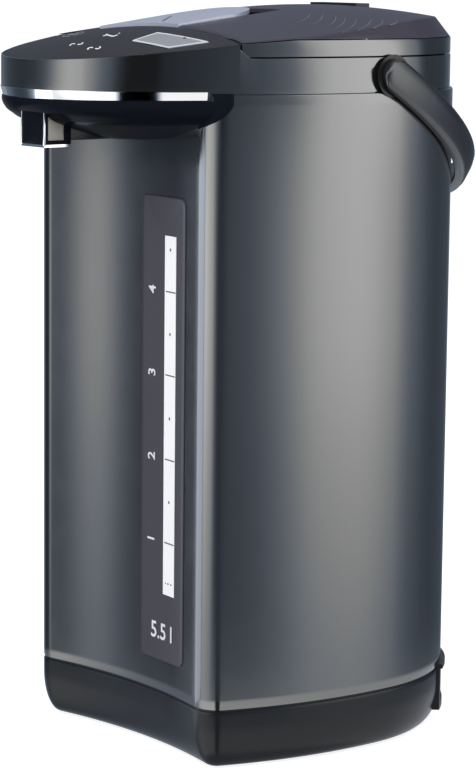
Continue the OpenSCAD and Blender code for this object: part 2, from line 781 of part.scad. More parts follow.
module gauge_window() {
    color([0.95, 0.95, 0.95]) intersection() {
        wall_ring(body_pts(-gauge_t), body_pts(jacket_t - 0.1), window_z, window_z + window_h);
        slab(hose_x, -body_r, window_z - past, window_w - 0.1, 30, window_h + 2 * past);
    }
}

// The hose that runs up from the level tube, over the body's edge and forward to the spout
rise_z = deck_top + 3;
nozzle_top = jacket_top - 2;
nozzle_y = -spout_y + spout_d / 2;
module upper_hose() {
    turn_r = rise_z - jacket_top - 0.4;
    up = [[hose_x, hose_y, tube_z1 - lap], [hose_x, hose_y, rise_z - turn_r]];
    over = [for (a = [22.5:22.5:90]) [hose_x - 2 * sin(a), hose_y - turn_r * (1 - cos(a)),
        rise_z - turn_r * (1 - sin(a))]];
    across = [[hose_x - 4, -106, rise_z], [hose_x - 8, -115, rise_z], [hose_x - 14, -124, rise_z - 0.5],
        [hose_x - 23, -135, rise_z - 1],
        [hose_x - 30, -144, rise_z - 1.5]];
    down = [[3, -151.5, rise_z - 2.5], [0.8, nozzle_y + 2, rise_z - 5.5], [0, nozzle_y, rise_z - 10],
        [0, nozzle_y, nozzle_top - 4]];
    color([0.88, 0.88, 0.86]) hose(concat(up, over, across, down), tube_r + 0.4 + 1, tube_r + 0.4);
}

// ---- Electrics ----

board_z = cover_top + 6;
board = [-26, 22];
board_w = 78;
board_d = 56;
board_t = 1.6;
board_posts = [for (sx = [-1, 1]) for (sy = [-1, 1])
    [board[0] + sx * (board_w / 2 - 5), board[1] + sy * (board_d / 2 - 5)]];
module power_board() {
    color([0.15, 0.4, 0.2]) slab(board[0], board[1], board_z, board_w, board_d, board_t);
}

module board_parts() {
    z = board_z + board_t;
    color([0.2, 0.3, 0.55]) union() {
        slab(board[0] - 24, board[1] + 12, z, 16, 20, 16);
        slab(board[0] - 24, board[1] - 14, z, 14, 12, 12);
        slab(board[0] + 26, board[1] - 14, z, 14, 12, 10);
    }
    color([0.1, 0.1, 0.12]) for (k = [0:2])
        translate([board[0] - 4 + k * 11, board[1] + 14, z]) cylinder(r = 4.5, h = 14 - 2 * k);
    color([0.1, 0.1, 0.12]) slab(board[0], board[1] - 8, z, 18, 8, 2);
}

module transformer() {
    at = [0.42, 0.34] * body_r;
    color([0.45, 0.42, 0.4]) union() {
        slab(at[0], at[1], cover_top, 44, 12, 2);
        slab(at[0], at[1], cover_top, 32, 28, 26);
        slab(at[0], at[1], cover_top + 6, 20, 36, 16);
    }
}

hood_t = 2.6;
module inlet_housing() {
    rim = 4;
    back = inlet_out - inlet_d;
    color([0.06, 0.06, 0.065]) difference() {
        intersection() {
            at_inlet() span([inlet_in, -inlet_w / 2, inlet_z],
                [inlet_out + 3, inlet_w / 2, inlet_z + inlet_h + hood_t]);
            union() {
                translate([0, 0, inlet_z]) cylinder(r = inlet_out, h = inlet_h, $fn = 128);
                translate([0, 0, inlet_z + inlet_h - 0.5])
                    cylinder(r = inlet_out + 1.4, h = hood_t, $fn = 128);
            }
        }
        at_inlet() span([back, -inlet_w / 2 + rim, inlet_z + rim],
            [body_r + 9, inlet_w / 2 - rim, inlet_z + inlet_h - rim / 2]);
        // Holes that hold the contacts
        for (s = [-1, 1]) at_inlet() translate([inlet_in - past, s * 9, inlet_z + inlet_h / 2 + 1])
            rotate([0, 90, 0]) cylinder(r = contact_r, h = 20);
    }
}

module inlet_pins() {
    tab_y = inlet_w / 2 - 8;
    color([0.85, 0.83, 0.78]) {
        for (s = [-1, 1]) at_inlet() translate([inlet_in - 4, s * 9, inlet_z + inlet_h / 2 + 1])
            rotate([0, 90, 0]) cylinder(r = contact_r - run_gap,
                h = inlet_out - inlet_d - inlet_in + 4 + 5);
        for (s = [-1, 1]) at_inlet() span([inlet_out - inlet_d, s * tab_y - 3, inlet_z + 7],
            [inlet_out - inlet_d + 1.2, s * tab_y + 3, inlet_z + inlet_h - 5]);
    }
}

// ---- Head ----

latch_x = lever_x;
latch_w = 20;
latch_z = rim_bottom + 2.6;
latch_t = 2.6;
pad_w = 33;
band_back = 13.4;
module head_shell() {
    band_cut = band_t + 0.1;
    lip = 0.6;
    boss = 9;
    color([0.22, 0.23, 0.24]) difference() {
        prism(head_pts(0), band_bottom, sky);
        // Top: the slope over the nose, level over the rest
        above_panel(0);
        difference() {
            prism(head_pts(-5), collar_top, sky + past);
            nose_zone(0, collar_top - past, sky + 2 * past);
        }
        // Seat of the control panel
        intersection() {
            above_panel(panel_t);
            prism(head_pts(lip), jacket_top, sky);
            nose_zone(-past, jacket_top, sky);
        }
        // Space under the deck, and the body itself
        prism(head_pts(head_wall), band_bottom - past, deck_bottom);
        prism(body_pts(-slip / 2), band_bottom - past, jacket_top);
        // Hollow of the nose, in front of the deck and above it
        intersection() {
            difference() {
                prism(head_pts(head_wall), deck_bottom - past, sky);
                cylinder(r = pot_r + pot_t + pot_rim, h = deck_top);
            }
            nose_zone(head_wall, deck_bottom - past, sky);
        }
        // Well for the lid
        difference() {
            prism(head_pts(head_wall), deck_top, sky);
            nose_zone(0, deck_top - past, sky + past);
            span([-pad_w / 2, body_r - collar_inset - 6, deck_top - past], [pad_w / 2, body_r, collar_top]);
        }
        translate([0, mouth_y, deck_bottom - past]) cylinder(r = mouth_r, h = deck_t + 2 * past, $fn = 128);
        // Seat of the bright band
        difference() {
            wall_ring(head_pts(-past), head_pts(band_cut), band_bottom - past, band_top + 0.1);
            span([-body_r * 1.2, band_end_y + band_back, band_bottom - 2 * past],
                [body_r * 1.2, body_r + 5, sky]);
        }
        // Seam over the body
        difference() {
            wall_ring(head_pts(-past), head_pts(0.6), jacket_top - past, jacket_top + seam);
            span([-body_r * 1.2, -body_r * 2, jacket_top - 2 * past],
                [body_r * 1.2, band_end_y, jacket_top + 2]);
        }
        // Slot that the latch enters
        span([latch_x - latch_w / 2 - 0.8, -lid_front_y - 12, latch_z - 0.6],
            [latch_x + latch_w / 2 + 0.8, -lid_front_y + 3, latch_z + latch_t + 0.6]);
        // Holes for the handle's pivots
        for (s = [-1, 1]) translate([s * (body_r - boss), -pivot_y, jacket_top + pivot_rise])
            rotate([0, s * 90, 0])
            cylinder(r = pivot_r, h = 2 * boss);
    }
}

module bright_band() {
    color([0.92, 0.92, 0.94]) difference() {
        wall_ring(head_pts(-band_out), head_pts(band_t), band_bottom, band_top);
        span([-body_r * 1.2, band_end_y + band_back - 0.1, band_bottom - past],
            [body_r * 1.2, body_r, band_top + past]);
        prism(body_pts(-slip / 2), band_bottom - past, jacket_top + 0.1);
    }
}

// The hull's rings, from the keel up: shares of the head's width, of its reach and of the depth
hull_c = [0, -95];
hull_rows = [[0.18, 0.2, 1], [0.42, 0.41, 0.91], [0.6, 0.57, 0.79], [0.8, 0.74, 0.62],
    [0.93, 0.85, 0.51], [0.965, 0.9, 0.42], [0.995, 0.955, 0.3], [1.01, 0.993, 0.13], [1.012, 1, 0]];
function hull_ring(w, dk, dz) = [for (p = whole(nose_half()))
    [p[0] * (w[0] - dk), hull_c[1] + (p[1] - hull_c[1]) * (w[1] - dk),
        band_bottom - hull_h * w[2] + (w[2] > 0 ? dz : 0)]];
function hull_rings(dk, dz) = [for (w = hull_rows) hull_ring(w, dk, dz)];
// The hull's shell: up its outer face, across its rim and down its inner face
module hull_form() {
    inner = hull_rings(hull_t / tip_r, hull_t);
    difference() {
        loft(concat(hull_rings(0, 0), [for (k = [len(inner) - 1:-1:0]) inner[k]]));
        prism(body_pts(-slip / 2), band_bottom - hull_h - past, band_bottom + 2 * past);
    }
}

module head_hull() {
    color([0.08, 0.09, 0.10]) difference() {
        hull_form();
        span([-cover_w / 2 - 0.1, -2 * body_r, band_bottom - hull_h - past],
            [cover_w / 2 + 0.1, -spout_y + spout_d + 8, band_bottom + past]);
    }
}

spout_z = jacket_top - spout_drop;
module spout_cover() {
    top = band_bottom - 7;
    color([0.09, 0.10, 0.11]) difference() {
        union() {
            intersection() {
                hull_form();
                span([-cover_w / 2, -2 * body_r, band_bottom - hull_h - past],
                    [cover_w / 2, -spout_y + spout_d + 7.8, band_bottom + past]);
            }
            slab(0, -spout_y + spout_d / 2, spout_z, spout_w, spout_d, top - spout_z);
        }
        slab(0, -spout_y + spout_d / 2, spout_z - past, spout_w - 2 * spout_t, spout_d - 2 * spout_t,
            top - spout_z + 2 * past);
        // Side windows and the corners that take the bright trim
        slab(0, -spout_y + spout_d / 2, spout_z + 2.5, spout_w + 2, spout_d - 6, 11.5);
        for (s = [-1, 1]) slab(s * spout_w / 2, -spout_y, spout_z - past, 2 * trim_t, 2 * trim_t, 18);
    }
}

trim_t = 0.9;
module spout_nozzle() {
    w = spout_w - 2 * spout_t - 0.4;
    d = spout_d - 2 * spout_t - 0.4;
    color([0.82, 0.80, 0.74]) difference() {
        union() {
            slab(0, nozzle_y, spout_z + 2, w, d, 15);
            translate([0, nozzle_y, spout_z + 16]) cylinder(r = tube_r, h = nozzle_top - spout_z - 16);
        }
        translate([0, nozzle_y, spout_z - past])
            cylinder(r = tube_r - 1.2, h = nozzle_top - spout_z + 2 * past);
        slab(0, nozzle_y, spout_z, w - 4, d - 4, 10);
    }
}

module spout_trim() {
    lip_h = 1.4;
    color([0.93, 0.93, 0.95]) union() {
        difference() {
            slab(0, nozzle_y, spout_z - lip_h, spout_w, spout_d, lip_h);
            slab(0, nozzle_y, spout_z - lip_h - past, spout_w - 2 * spout_t, spout_d - 2 * spout_t,
                lip_h + 2 * past);
        }
        for (s = [-1, 1]) slab(s * (spout_w - trim_t) / 2, -spout_y + trim_t / 2, spout_z - lip_h,
            trim_t - 0.05, trim_t - 0.05, lip_h + 16);
    }
}

// The button's outline on the panel, grown by g: a four-sided plate that narrows to the front
function button_pts(g) = let (
    lean = (button_w1 - button_w2) / 2 / button_d,
    side = sqrt(1 + lean * lean),
    h1 = button_w1 / 2 + g * (side + lean),
    h2 = button_w2 / 2 + g * (side - lean),
    d = button_d / 2 + g)
    [[-h1, d], [h1, d], [h2, -d], [-h2, -d]];
module at_button() {
    on_panel() translate([button_x, -button_y - datum_y, 0]) rotate([0, 0, button_turn]) children();
}

board_drop = 6;
board2_w = 100;
board2_d = 48;
board2_y = -19;
module control_panel() {
    color([0.25, 0.24, 0.27]) difference() {
        union() {
            intersection() {
                crown_body(0);
                above_panel(panel_t - 0.02);
            }
            on_panel() for (sx = [-1, 1]) for (sy = [-1, 1])
                translate([sx * (board2_w / 2 - 4), board2_y + sy * (board2_d / 2 - 4), -board_drop])
                    cylinder(r = 3, h = board_drop - 0.5);
        }
        at_button() translate([0, 0, -2 * board_drop]) linear_extrude(3 * board_drop)
            polygon(button_pts(0.4 + bezel_w));
    }
}

module button_bezel() {
    color([0.93, 0.93, 0.95]) intersection() {
        crown_body(0.4);
        at_button() translate([0, 0, -panel_t]) linear_extrude(panel_t + panel_crown + 1) difference() {
            polygon(button_pts(0.35 + bezel_w));
            polygon(button_pts(0.35));
        }
    }
}

stem_z = -1.6;
module dispense_button() {
    color([0.70, 0.71, 0.73]) union() {
        intersection() {
            crown_body(0.6);
            at_button() translate([0, 0, -0.9]) linear_extrude(panel_crown + 2) polygon(button_pts(0));
        }
        at_button() translate([0, 0, -3]) linear_extrude(2.4) difference() {
            polygon(button_pts(0));
            polygon(button_pts(-1.5));
        }
        at_button() translate([0, 0, stem_z]) cylinder(r = 2.5, h = -stem_z - 0.5);
    }
}

module control_board() {
    color([0.15, 0.4, 0.2]) on_panel() translate([0, board2_y, -board_drop - board_t])
        slab(0, 0, 0, board2_w, board2_d, board_t);
}

module button_switch() {
    gap = button_travel + 0.3;
    color([0.15, 0.15, 0.16]) at_button() union() {
        slab(0, 0, -board_drop, 6, 6, 2);
        translate([0, 0, -board_drop + 1.5]) cylinder(r = 1.6, h = board_drop - 1.5 + stem_z - gap);
    }
}

// ---- Lid ----

hinge_z = rim_bottom + 4.4;
knuckle_r = hinge_pin_r + run_gap + knuckle_t;
notch_w = 58;
notch_y = body_r - 16;
module hinge_notch() {
    span([-notch_w / 2, notch_y, jacket_top], [notch_w / 2, body_r + 5, sky]);
}

module lid_rim() {
    color([0.30, 0.31, 0.32]) difference() {
        band([
            lift(lid_pts(0), rim_bottom),
            [for (p = lid_pts(0)) [p[0], p[1], edge_z(p)]],
            [for (p = lid_pts(rim_t)) [p[0], p[1], edge_z(p)]],
            lift(lid_pts(rim_t), rim_bottom)]);
        hinge_notch();
        // Slot of the latch, and the room in which the lever's front edge dips
        span([latch_x - latch_w / 2 - 0.4, -lid_front_y - 8, latch_z - 0.3],
            [latch_x + latch_w / 2 + 0.4, -lid_front_y + 14, latch_z + latch_t + 0.3]);
        span([lever_x - lever_w / 2 - 0.5, -lid_front_y - 12, latch_z + 0.7],
            [lever_x + lever_w / 2 + 0.5, -lid_front_y + 14, sky]);
    }
}

steam_y = 47;
cap_w = 40;
cap_d = 10;
pin_y = -lid_front_y + 7.5;
lever_front = -lid_front_y - 6;
lever_back = -lid_front_y + lever_l;
// How far back a point lies behind the front of the dome's sloping edge, from 0 to 1
function backness(p) = max(0, (p[1] + 50) / 150);
// The dome's upper edge, which draws in towards the back
function dome_pts() = [for (p = lid_pts(1.8)) p * (1 - dome_in * backness(p))];
dome_in = 0.087;
module lid_top() {
    c = [0, peak_y];
    edge = dome_pts();
    seat = 0.3;
    shares = [0.06, 0.22, 0.42, 0.62, 0.82];
    // A level from a, at the front, to the rim's edge, at the back
    function wall_z(p, a, b) = let (t = min(1, 3 * backness(p)))
        (1 - t) * max(edge_z(p) + b, top_z(p[0], p[1]) - a) + t * (edge_z(p) + b);
    color([0.24, 0.24, 0.27]) difference() {
        loft(concat(
            [lift(shrink(edge, c, shares[0]), top_z(0, peak_y) - lid_t)],
            [for (k = [1:4]) [for (p = shrink(edge, c, shares[k])) [p[0], p[1],
                top_z(p[0], p[1]) - lid_t]]],
            [[for (p = lid_pts(rim_t + 0.4)) [p[0], p[1], wall_z(p, lid_t, seat)]]],
            [[for (p = lid_pts(rim_t)) [p[0], p[1], edge_z(p) + seat]]],
            [[for (p = lid_pts(0.4)) [p[0], p[1], edge_z(p) + seat]]],
            [[for (p = lid_pts(0.9)) [p[0], p[1], wall_z(p, 0.9, seat + 0.3)]]],
            [[for (p = edge) [p[0], p[1], top_z(p[0], p[1])]]],
            [for (k = [4:-1:1]) [for (p = shrink(edge, c, shares[k])) [p[0], p[1], top_z(p[0], p[1])]]],
            [lift(shrink(edge, c, shares[0]), top_z(0, peak_y))]));
        hinge_notch();
        // Well of the lever, with room for a finger behind it
        span([lever_x - lever_w / 2 - 0.5, -lid_front_y - 20, rim_bottom],
            [lever_x + lever_w / 2 + 0.5, lever_back + 9, sky]);
        slab(0, steam_y, rim_top, cap_w + 0.2, cap_d + 0.2, 40);
    }
}

plug_r = mouth_r - plug_gap;
plug_bottom = jacket_top - plug_drop;
liner_t = 2.4;
liner_top = rim_bottom + liner_t;
flange_z = deck_top + 3.6;
module lid_liner() {
    post_w = 4;
    ear_w = 8;
    ear_x = 19.5;
    color([0.10, 0.10, 0.11]) difference() {
        union() {
            difference() {
                prism(lid_pts(rim_t + 0.2), rim_bottom, liner_top);
                hinge_notch();
            }
            translate([0, mouth_y, plug_bottom])
                cylinder(r = plug_r, h = liner_top - plug_bottom, $fn = 128);
            translate([0, mouth_y, flange_z]) cylinder(r = plug_r + 6.5, h = 2, $fn = 128);
            for (s = [-1, 1]) {
                span([s * ear_x - ear_w / 2, notch_y - 6, rim_bottom],
                    [s * ear_x + ear_w / 2, hinge_y, hinge_z]);
                translate([s * ear_x - ear_w / 2, hinge_y, hinge_z]) rotate([0, 90, 0])
                    cylinder(r = knuckle_r, h = ear_w);
            }
            // Bearings of the lever's pin
            for (s = [-1, 1]) {
                span([lever_x + s * 15 - post_w / 2, pin_y - 3, rim_bottom],
                    [lever_x + s * 15 + post_w / 2, pin_y + 3, pin_z]);
                translate([lever_x + s * 15 - post_w / 2, pin_y, pin_z]) rotate([0, 90, 0])
                    cylinder(r = ear_in, h = post_w);
            }
        }
        // Inside of the plug, between its screw posts
        difference() {
            translate([0, mouth_y, plug_bottom - past])
                cylinder(r = plug_r - 2.3, h = rim_bottom - plug_bottom + past, $fn = 128);
            for (p = lid_screw_places) translate([p[0], p[1], plug_bottom - 2 * past])
                cylinder(r = 4, h = 60);
        }
        for (p = lid_screw_places) translate([p[0], p[1], plug_bottom - past])
            cylinder(r = screw_r, h = 12);
        translate([-60, hinge_y, hinge_z]) rotate([0, 90, 0]) cylinder(r = hinge_pin_r + run_gap, h = 120);
        translate([lever_x - lever_w / 2, pin_y, pin_z]) rotate([0, 90, 0])
            cylinder(r = lever_pin_r + run_gap, h = lever_w);
        translate([0, steam_y, rim_bottom - past]) cylinder(r = steam_r + 0.1, h = liner_t + 2 * past);
    }
}

lid_screw_places = [for (a = [30, 150, 270]) [61 * cos(a), mouth_y + 61 * sin(a)]];
cover2_t = 1.2;
module inner_cover() {
    color([0.75, 0.76, 0.78]) difference() {
        translate([0, mouth_y, plug_bottom - cover2_t]) cylinder(r = plug_r - 0.3, h = cover2_t, $fn = 128);
        for (a = [0:60:300]) translate([1.8 * cos(a), steam_y + 1.8 * sin(a),
            plug_bottom - cover2_t - past])
            cylinder(r = 0.7, h = cover2_t + 2 * past);
        for (p = lid_screw_places) translate([p[0], p[1], plug_bottom - cover2_t - past])
            cylinder(r = screw_r + slip, h = cover2_t + 2 * past);
    }
}

module lid_screws() {
    color([0.7, 0.7, 0.72]) for (p = lid_screw_places) translate([p[0], p[1], plug_bottom - cover2_t]) {
        translate([0, 0, -screw_head_h]) cylinder(r = screw_head_r, h = screw_head_h);
        cylinder(r = screw_r - run_gap, h = 10);
    }
}

module lid_gasket() {
    color([0.82, 0.82, 0.80]) translate([0, mouth_y, deck_top + slip])
        tube(plug_r + 6, plug_r + run_gap, flange_z - deck_top - slip, $fn = 128);
}

steam_r = 4.4;
cap_rise = 1.5;
cap_bottom = top_z(0, steam_y) - lid_t - 1.5;
module steam_cap() {
    corner_r = 3;
    color([0.06, 0.06, 0.065]) difference() {
        slab(0, steam_y, cap_bottom, cap_w, cap_d, top_z(0, steam_y) + cap_rise - cap_bottom);
        translate([0, steam_y, cap_bottom - past]) cylinder(r = steam_r - 1.5, h = 4);
        slab(0, steam_y, cap_bottom + 1, cap_w - 6, cap_d - 5, 1.6);
        for (k = [-3:3]) slab(k * 5, steam_y, cap_bottom + 2, 2.6, cap_d - 5, 20);
    }
}

module steam_tube() {
    color([0.85, 0.85, 0.84]) translate([0, steam_y, plug_bottom])
        tube(steam_r, steam_r - 1.5, cap_bottom - plug_bottom);
}

pin_z = top_z(lever_x, pin_y) - 5;
ear_in = 2.7;
module lever_plan(g) {
    x0 = lever_x - lever_w / 2 + g;
    x1 = lever_x + lever_w / 2 - g;
    y1 = lever_back - g;
    difference() {
        union() {
            translate([x0, lever_front - 10]) square([x1 - x0, y1 - lever_round - lever_front + 10]);
            translate([x0 + lever_round, y1 - lever_round - past])
                square([x1 - x0 - 2 * lever_round, lever_round + past]);
            for (x = [x0 + lever_round, x1 - lever_round]) translate([x, y1 - lever_round])
                circle(r = lever_round);
        }
        translate(lid_front_c) circle(r = lid_front_r + lid_gap + 1.4, $fn = 180);
    }
}

lever_t = 2.3;
lever_rise = 0.8;
lever_lean = 0.015;
arm_w = 6;
arm_d = 2.4;
module lid_lever() {
    ear_w = 3;
    lip_h = 2.8;
    x0 = lever_x - lever_w / 2 - 2;
    x1 = lever_x + lever_w / 2 + 2;
    color([0.66, 0.67, 0.76]) difference() {
        union() {
            intersection() {
                translate([0, 0, rim_bottom]) linear_extrude(60) lever_plan(0);
                union() {
                    crown_slab(lever_rise - lever_t, lever_rise, x0, x1, lever_front - 6, lever_back + 4,
                        lever_lean);
                    // Lip that hides the gap in front of the lid
                    intersection() {
                        crown_slab(lever_rise - lip_h, lever_rise - 1, x0, x1, lever_front - 6,
                            lever_back + 4, lever_lean);
                        translate([0, lid_front_c[1], rim_bottom])
                            cylinder(r = lid_front_r + lid_gap + 3, h = 60, $fn = 180);
                    }
                }
            }
            for (dx = [-10, 0, 10]) {
                w = dx == 0 ? arm_w : ear_w;
                span([lever_x + dx - w / 2, pin_y - 2.5, pin_z],
                    [lever_x + dx + w / 2, pin_y + 2.5, pin_z + 4.2]);
                translate([lever_x + dx - w / 2, pin_y, pin_z]) rotate([0, 90, 0])
                    cylinder(r = ear_in, h = w);
            }
            // Arm that draws the latch back
            slab(lever_x, pin_y, latch_z + 0.4, arm_w, arm_d, pin_z - latch_z - 1.4);
        }
        translate([lever_x - lever_w, pin_y, pin_z]) rotate([0, 90, 0])
            cylinder(r = lever_pin_r + run_gap, h = 2 * lever_w);
    }
}

module lever_pin() {
    color([0.75, 0.75, 0.77]) translate([lever_x - 18, pin_y, pin_z]) rotate([0, 90, 0])
        cylinder(r = lever_pin_r, h = 36);
}

module lever_spring() {
    wire = 0.4;
    turns = 6;
    color([0.7, 0.7, 0.72]) for (k = [0:turns - 1])
        translate([lever_x + 4 + k * 2 * wire, pin_y, pin_z]) rotate([0, 90, 0])
            rotate_extrude() translate([lever_pin_r + 0.1 + wire, 0]) circle(r = wire - 0.01, $fn = 24);
}

module latch_bolt() {
    reach = 1.5;
    color([0.12, 0.12, 0.13]) difference() {
        slab(latch_x, pin_y - 4, latch_z, latch_w, 27, latch_t);
        slab(latch_x, pin_y, latch_z - past, arm_w + 1, arm_d + 1.4, latch_t + 2 * past);
        translate([0, lid_front_c[1], latch_z - past])
            cylinder(r = lid_front_r - reach, h = latch_t + 2 * past, $fn = 180);
    }
}

knuckle_w = 29;
hinge_half = notch_w / 2 - 4;
module hinge_block() {
    color([0.10, 0.10, 0.11]) difference() {
        union() {
            intersection() {
                span([-knuckle_w / 2, body_r - collar_inset - 6, collar_top],
                    [knuckle_w / 2, body_r, hinge_z]);
                cylinder(r = body_r - collar_inset, h = sky, $fn = 128);
            }
            translate([-knuckle_w / 2, hinge_y, hinge_z]) rotate([0, 90, 0])
                cylinder(r = knuckle_r, h = knuckle_w);
        }
        translate([-60, hinge_y, hinge_z]) rotate([0, 90, 0]) cylinder(r = hinge_pin_r + run_gap, h = 120);
    }
}

module hinge_pin() {
    color([0.75, 0.75, 0.77]) translate([-hinge_half, hinge_y, hinge_z]) rotate([0, 90, 0])
        cylinder(r = hinge_pin_r, h = 2 * hinge_half);
}

// ---- Handle ----

pivot_z = jacket_top + pivot_rise;
pivot_neck_r = 8.5;
pivot_face_r = 11.5;
// A ring of the strap's section where the handle has turned by a from its right pivot
function strap_ring(a) = let (
    t = bail_t / 2,
    g = grip_t * pow(sin(a), 2),
    out = unit([bail_l * cos(a), bail_a * sin(a)]),
    at = [bail_a * cos(a), bail_l * sin(a)],
    section = [[-t, -bail_b / 2], [t + g - 1.5, -bail_b / 2], [t + g, bail_b * 0.14],
        [t + g - 1.5, bail_b / 2], [-t, bail_b / 2]])
    [for (q = section) let (p = at + q[0] * out)
        [p[0], p[1] * cos(bail_tilt) + q[1] * sin(bail_tilt) - pivot_y,
            pivot_z - p[1] * sin(bail_tilt) + q[1] * cos(bail_tilt)]];
ear_r = 9;
module handle() {
    face = bail_a + bail_t / 2;
    depth = bail_t - 1.2;
    color([0.10, 0.10, 0.105]) difference() {
        union() {
            loft([for (a = [0:5:180]) strap_ring(a)]);
            for (s = [-1, 1]) translate([s * (face - bail_t), -pivot_y, pivot_z]) rotate([0, s * 90, 0])
                cylinder(r = ear_r, h = bail_t);
        }
        for (s = [-1, 1]) translate([s * (face - bail_t - past), -pivot_y, pivot_z]) rotate([0, s * 90, 0])
            cylinder(r = pivot_r + run_gap, h = depth + past);
    }
}

// The stud that carries one end of the handle, on the side s
module pivot(s) {
    root = body_r - collar_inset - head_wall;
    face = bail_a - bail_t / 2;
    color([0.08, 0.08, 0.085]) union() {
        translate([s * root, -pivot_y, pivot_z]) rotate([0, s * 90, 0])
            cylinder(r = pivot_r - run_gap, h = face + bail_t - 1.5 - root);
        translate([s * (body_r - collar_inset + 0.1), -pivot_y, pivot_z]) rotate([0, s * 90, 0])
            cylinder(r = pivot_neck_r, h = face - body_r + collar_inset - 0.7);
        translate([s * (body_r + 0.3), -pivot_y, pivot_z]) rotate([0, s * 90, 0])
            cylinder(r = pivot_face_r, h = 0.6);
    }
}

module right_pivot() {
    pivot(1);
}

module left_pivot() {
    pivot(-1);
}

base_shell();
bottom_cover();
feet();
cover_screws();
outer_shell();
inner_pot();
pot_insulation();
heater_plate();
thermostats();
pump_bracket();
pump_motor();
motor_shaft();
drive_magnet();
pump_housing();
pump_cover();
impeller();
inlet_hose();
lower_hose();
sight_tube();
gauge_holder();
gauge_plate();
gauge_window();
upper_hose();
power_board();
board_parts();
transformer();
inlet_housing();
inlet_pins();
head_shell();
bright_band();
head_hull();
spout_cover();
spout_nozzle();
spout_trim();
control_panel();
button_bezel();
dispense_button();
control_board();
button_switch();
lid_rim();
lid_top();
lid_liner();
inner_cover();
lid_screws();
lid_gasket();
steam_cap();
steam_tube();
lid_lever();
lever_pin();
lever_spring();
latch_bolt();
hinge_block();
hinge_pin();
handle();
right_pivot();
left_pivot();
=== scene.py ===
import math

import bmesh
import bpy
from mathutils import Matrix, Vector
from mathutils.bvhtree import BVHTree


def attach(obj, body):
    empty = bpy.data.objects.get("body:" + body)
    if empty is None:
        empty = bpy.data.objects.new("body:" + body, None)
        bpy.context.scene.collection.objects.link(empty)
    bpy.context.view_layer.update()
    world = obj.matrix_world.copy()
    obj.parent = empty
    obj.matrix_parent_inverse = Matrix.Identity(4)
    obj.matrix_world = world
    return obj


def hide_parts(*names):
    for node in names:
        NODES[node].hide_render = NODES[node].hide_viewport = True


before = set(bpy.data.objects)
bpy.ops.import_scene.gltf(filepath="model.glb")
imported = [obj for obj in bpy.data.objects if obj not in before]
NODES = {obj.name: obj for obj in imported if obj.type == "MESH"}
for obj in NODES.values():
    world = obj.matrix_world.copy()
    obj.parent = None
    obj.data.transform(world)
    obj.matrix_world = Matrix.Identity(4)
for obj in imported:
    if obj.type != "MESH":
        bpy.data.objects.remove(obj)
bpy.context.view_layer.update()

# Lengths below are millimetres, turned to metres where a mesh is made.
MM = 0.001


# ---- Finishes ----

class Level:
    """A number that varies over a surface. Its operators add Math nodes."""

    def __init__(self, finish, out):
        self.finish = finish
        self.out = out

    def math(self, operation, first, second=0.0):
        return self.finish.add("ShaderNodeMath", {"operation": operation}, {0: first, 1: second})

    def __add__(self, other):
        return self.math("ADD", self, other)

    def __radd__(self, other):
        return self.math("ADD", other, self)

    def __sub__(self, other):
        return self.math("SUBTRACT", self, other)

    def __rsub__(self, other):
        return self.math("SUBTRACT", other, self)

    def __mul__(self, other):
        return self.math("MULTIPLY", self, other)

    def __rmul__(self, other):
        return self.math("MULTIPLY", other, self)


class Finish:
    """A material: one Principled shader and the nodes that feed it."""

    def __init__(self, name, color, rough, metallic=0.0, **constants):
        self.material = bpy.data.materials.new(name)
        self.material.use_nodes = True
        self.tree = self.material.node_tree
        self.tree.nodes.clear()
        self.shader = self.tree.nodes.new("ShaderNodeBsdfPrincipled")
        output = self.tree.nodes.new("ShaderNodeOutputMaterial")
        self.tree.links.new(self.shader.outputs[0], output.inputs[0])
        self.color = color
        self.rough = rough
        self.set("Base Color", (*color, 1.0))
        self.set("Roughness", rough)
        self.set("Metallic", metallic)
        for socket, value in constants.items():
            self.set(socket.replace("_", " "), value)
        self.place = self.add("ShaderNodeTexCoord", output="Object")

    def set(self, socket, value):
        self.feed(self.shader.inputs[socket], value)

    def feed(self, socket, value):
        if isinstance(value, Level):
            self.tree.links.new(value.out, socket)
        else:
            socket.default_value = value

    def add(self, kind, settings=None, inputs=None, output=0):
        node = self.tree.nodes.new(kind)
        for key, value in (settings or {}).items():
            setattr(node, key, value)
        for key, value in (inputs or {}).items():
            self.feed(node.inputs[key], value)
        return Level(self, node.outputs[output])

    def noise(self, scale, detail=3.0, stretch=(1.0, 1.0, 1.0)):
        spread = self.add("ShaderNodeVectorMath", {"operation": "MULTIPLY"}, {0: self.place, 1: stretch})
        return self.add("ShaderNodeTexNoise", None, {"Vector": spread, "Scale": scale, "Detail": detail})

    def mottle(self, level, amount):
        """The base colour, a little lighter and darker as level goes from 0 to 1."""
        low = [c * (1 - amount) for c in self.color]
        high = [min(1.0, c * (1 + amount)) for c in self.color]
        mix = self.add("ShaderNodeMix", {"data_type": "RGBA"}, {0: level, 6: (*low, 1.0), 7: (*high, 1.0)}, output=2)
        self.set("Base Color", mix)

    def vary_rough(self, level, amount):
        self.set("Roughness", self.rough - amount / 2 + amount * level)

    def bump(self, level, height, strength=0.3):
        inputs = {"Height": level, "Strength": strength, "Distance": height}
        self.set("Normal", self.add("ShaderNodeBump", None, inputs))


FINISHES = {}


def make_finish(name, color, rough, metallic=0.0, mottle=None, vary=None, bump=None, **constants):
    """Keeps a finish by name. Mottle and vary are (amount, noise...); bump is (height, strength, noise...)."""
    f = Finish(name, color, rough, metallic, **constants)
    if mottle:
        f.mottle(f.noise(*mottle[1:]), mottle[0])
    if vary:
        f.vary_rough(f.noise(*vary[1:]), vary[0])
    if bump:
        f.bump(f.noise(*bump[2:]), bump[0], bump[1])
    FINISHES[name] = f.material
    return f


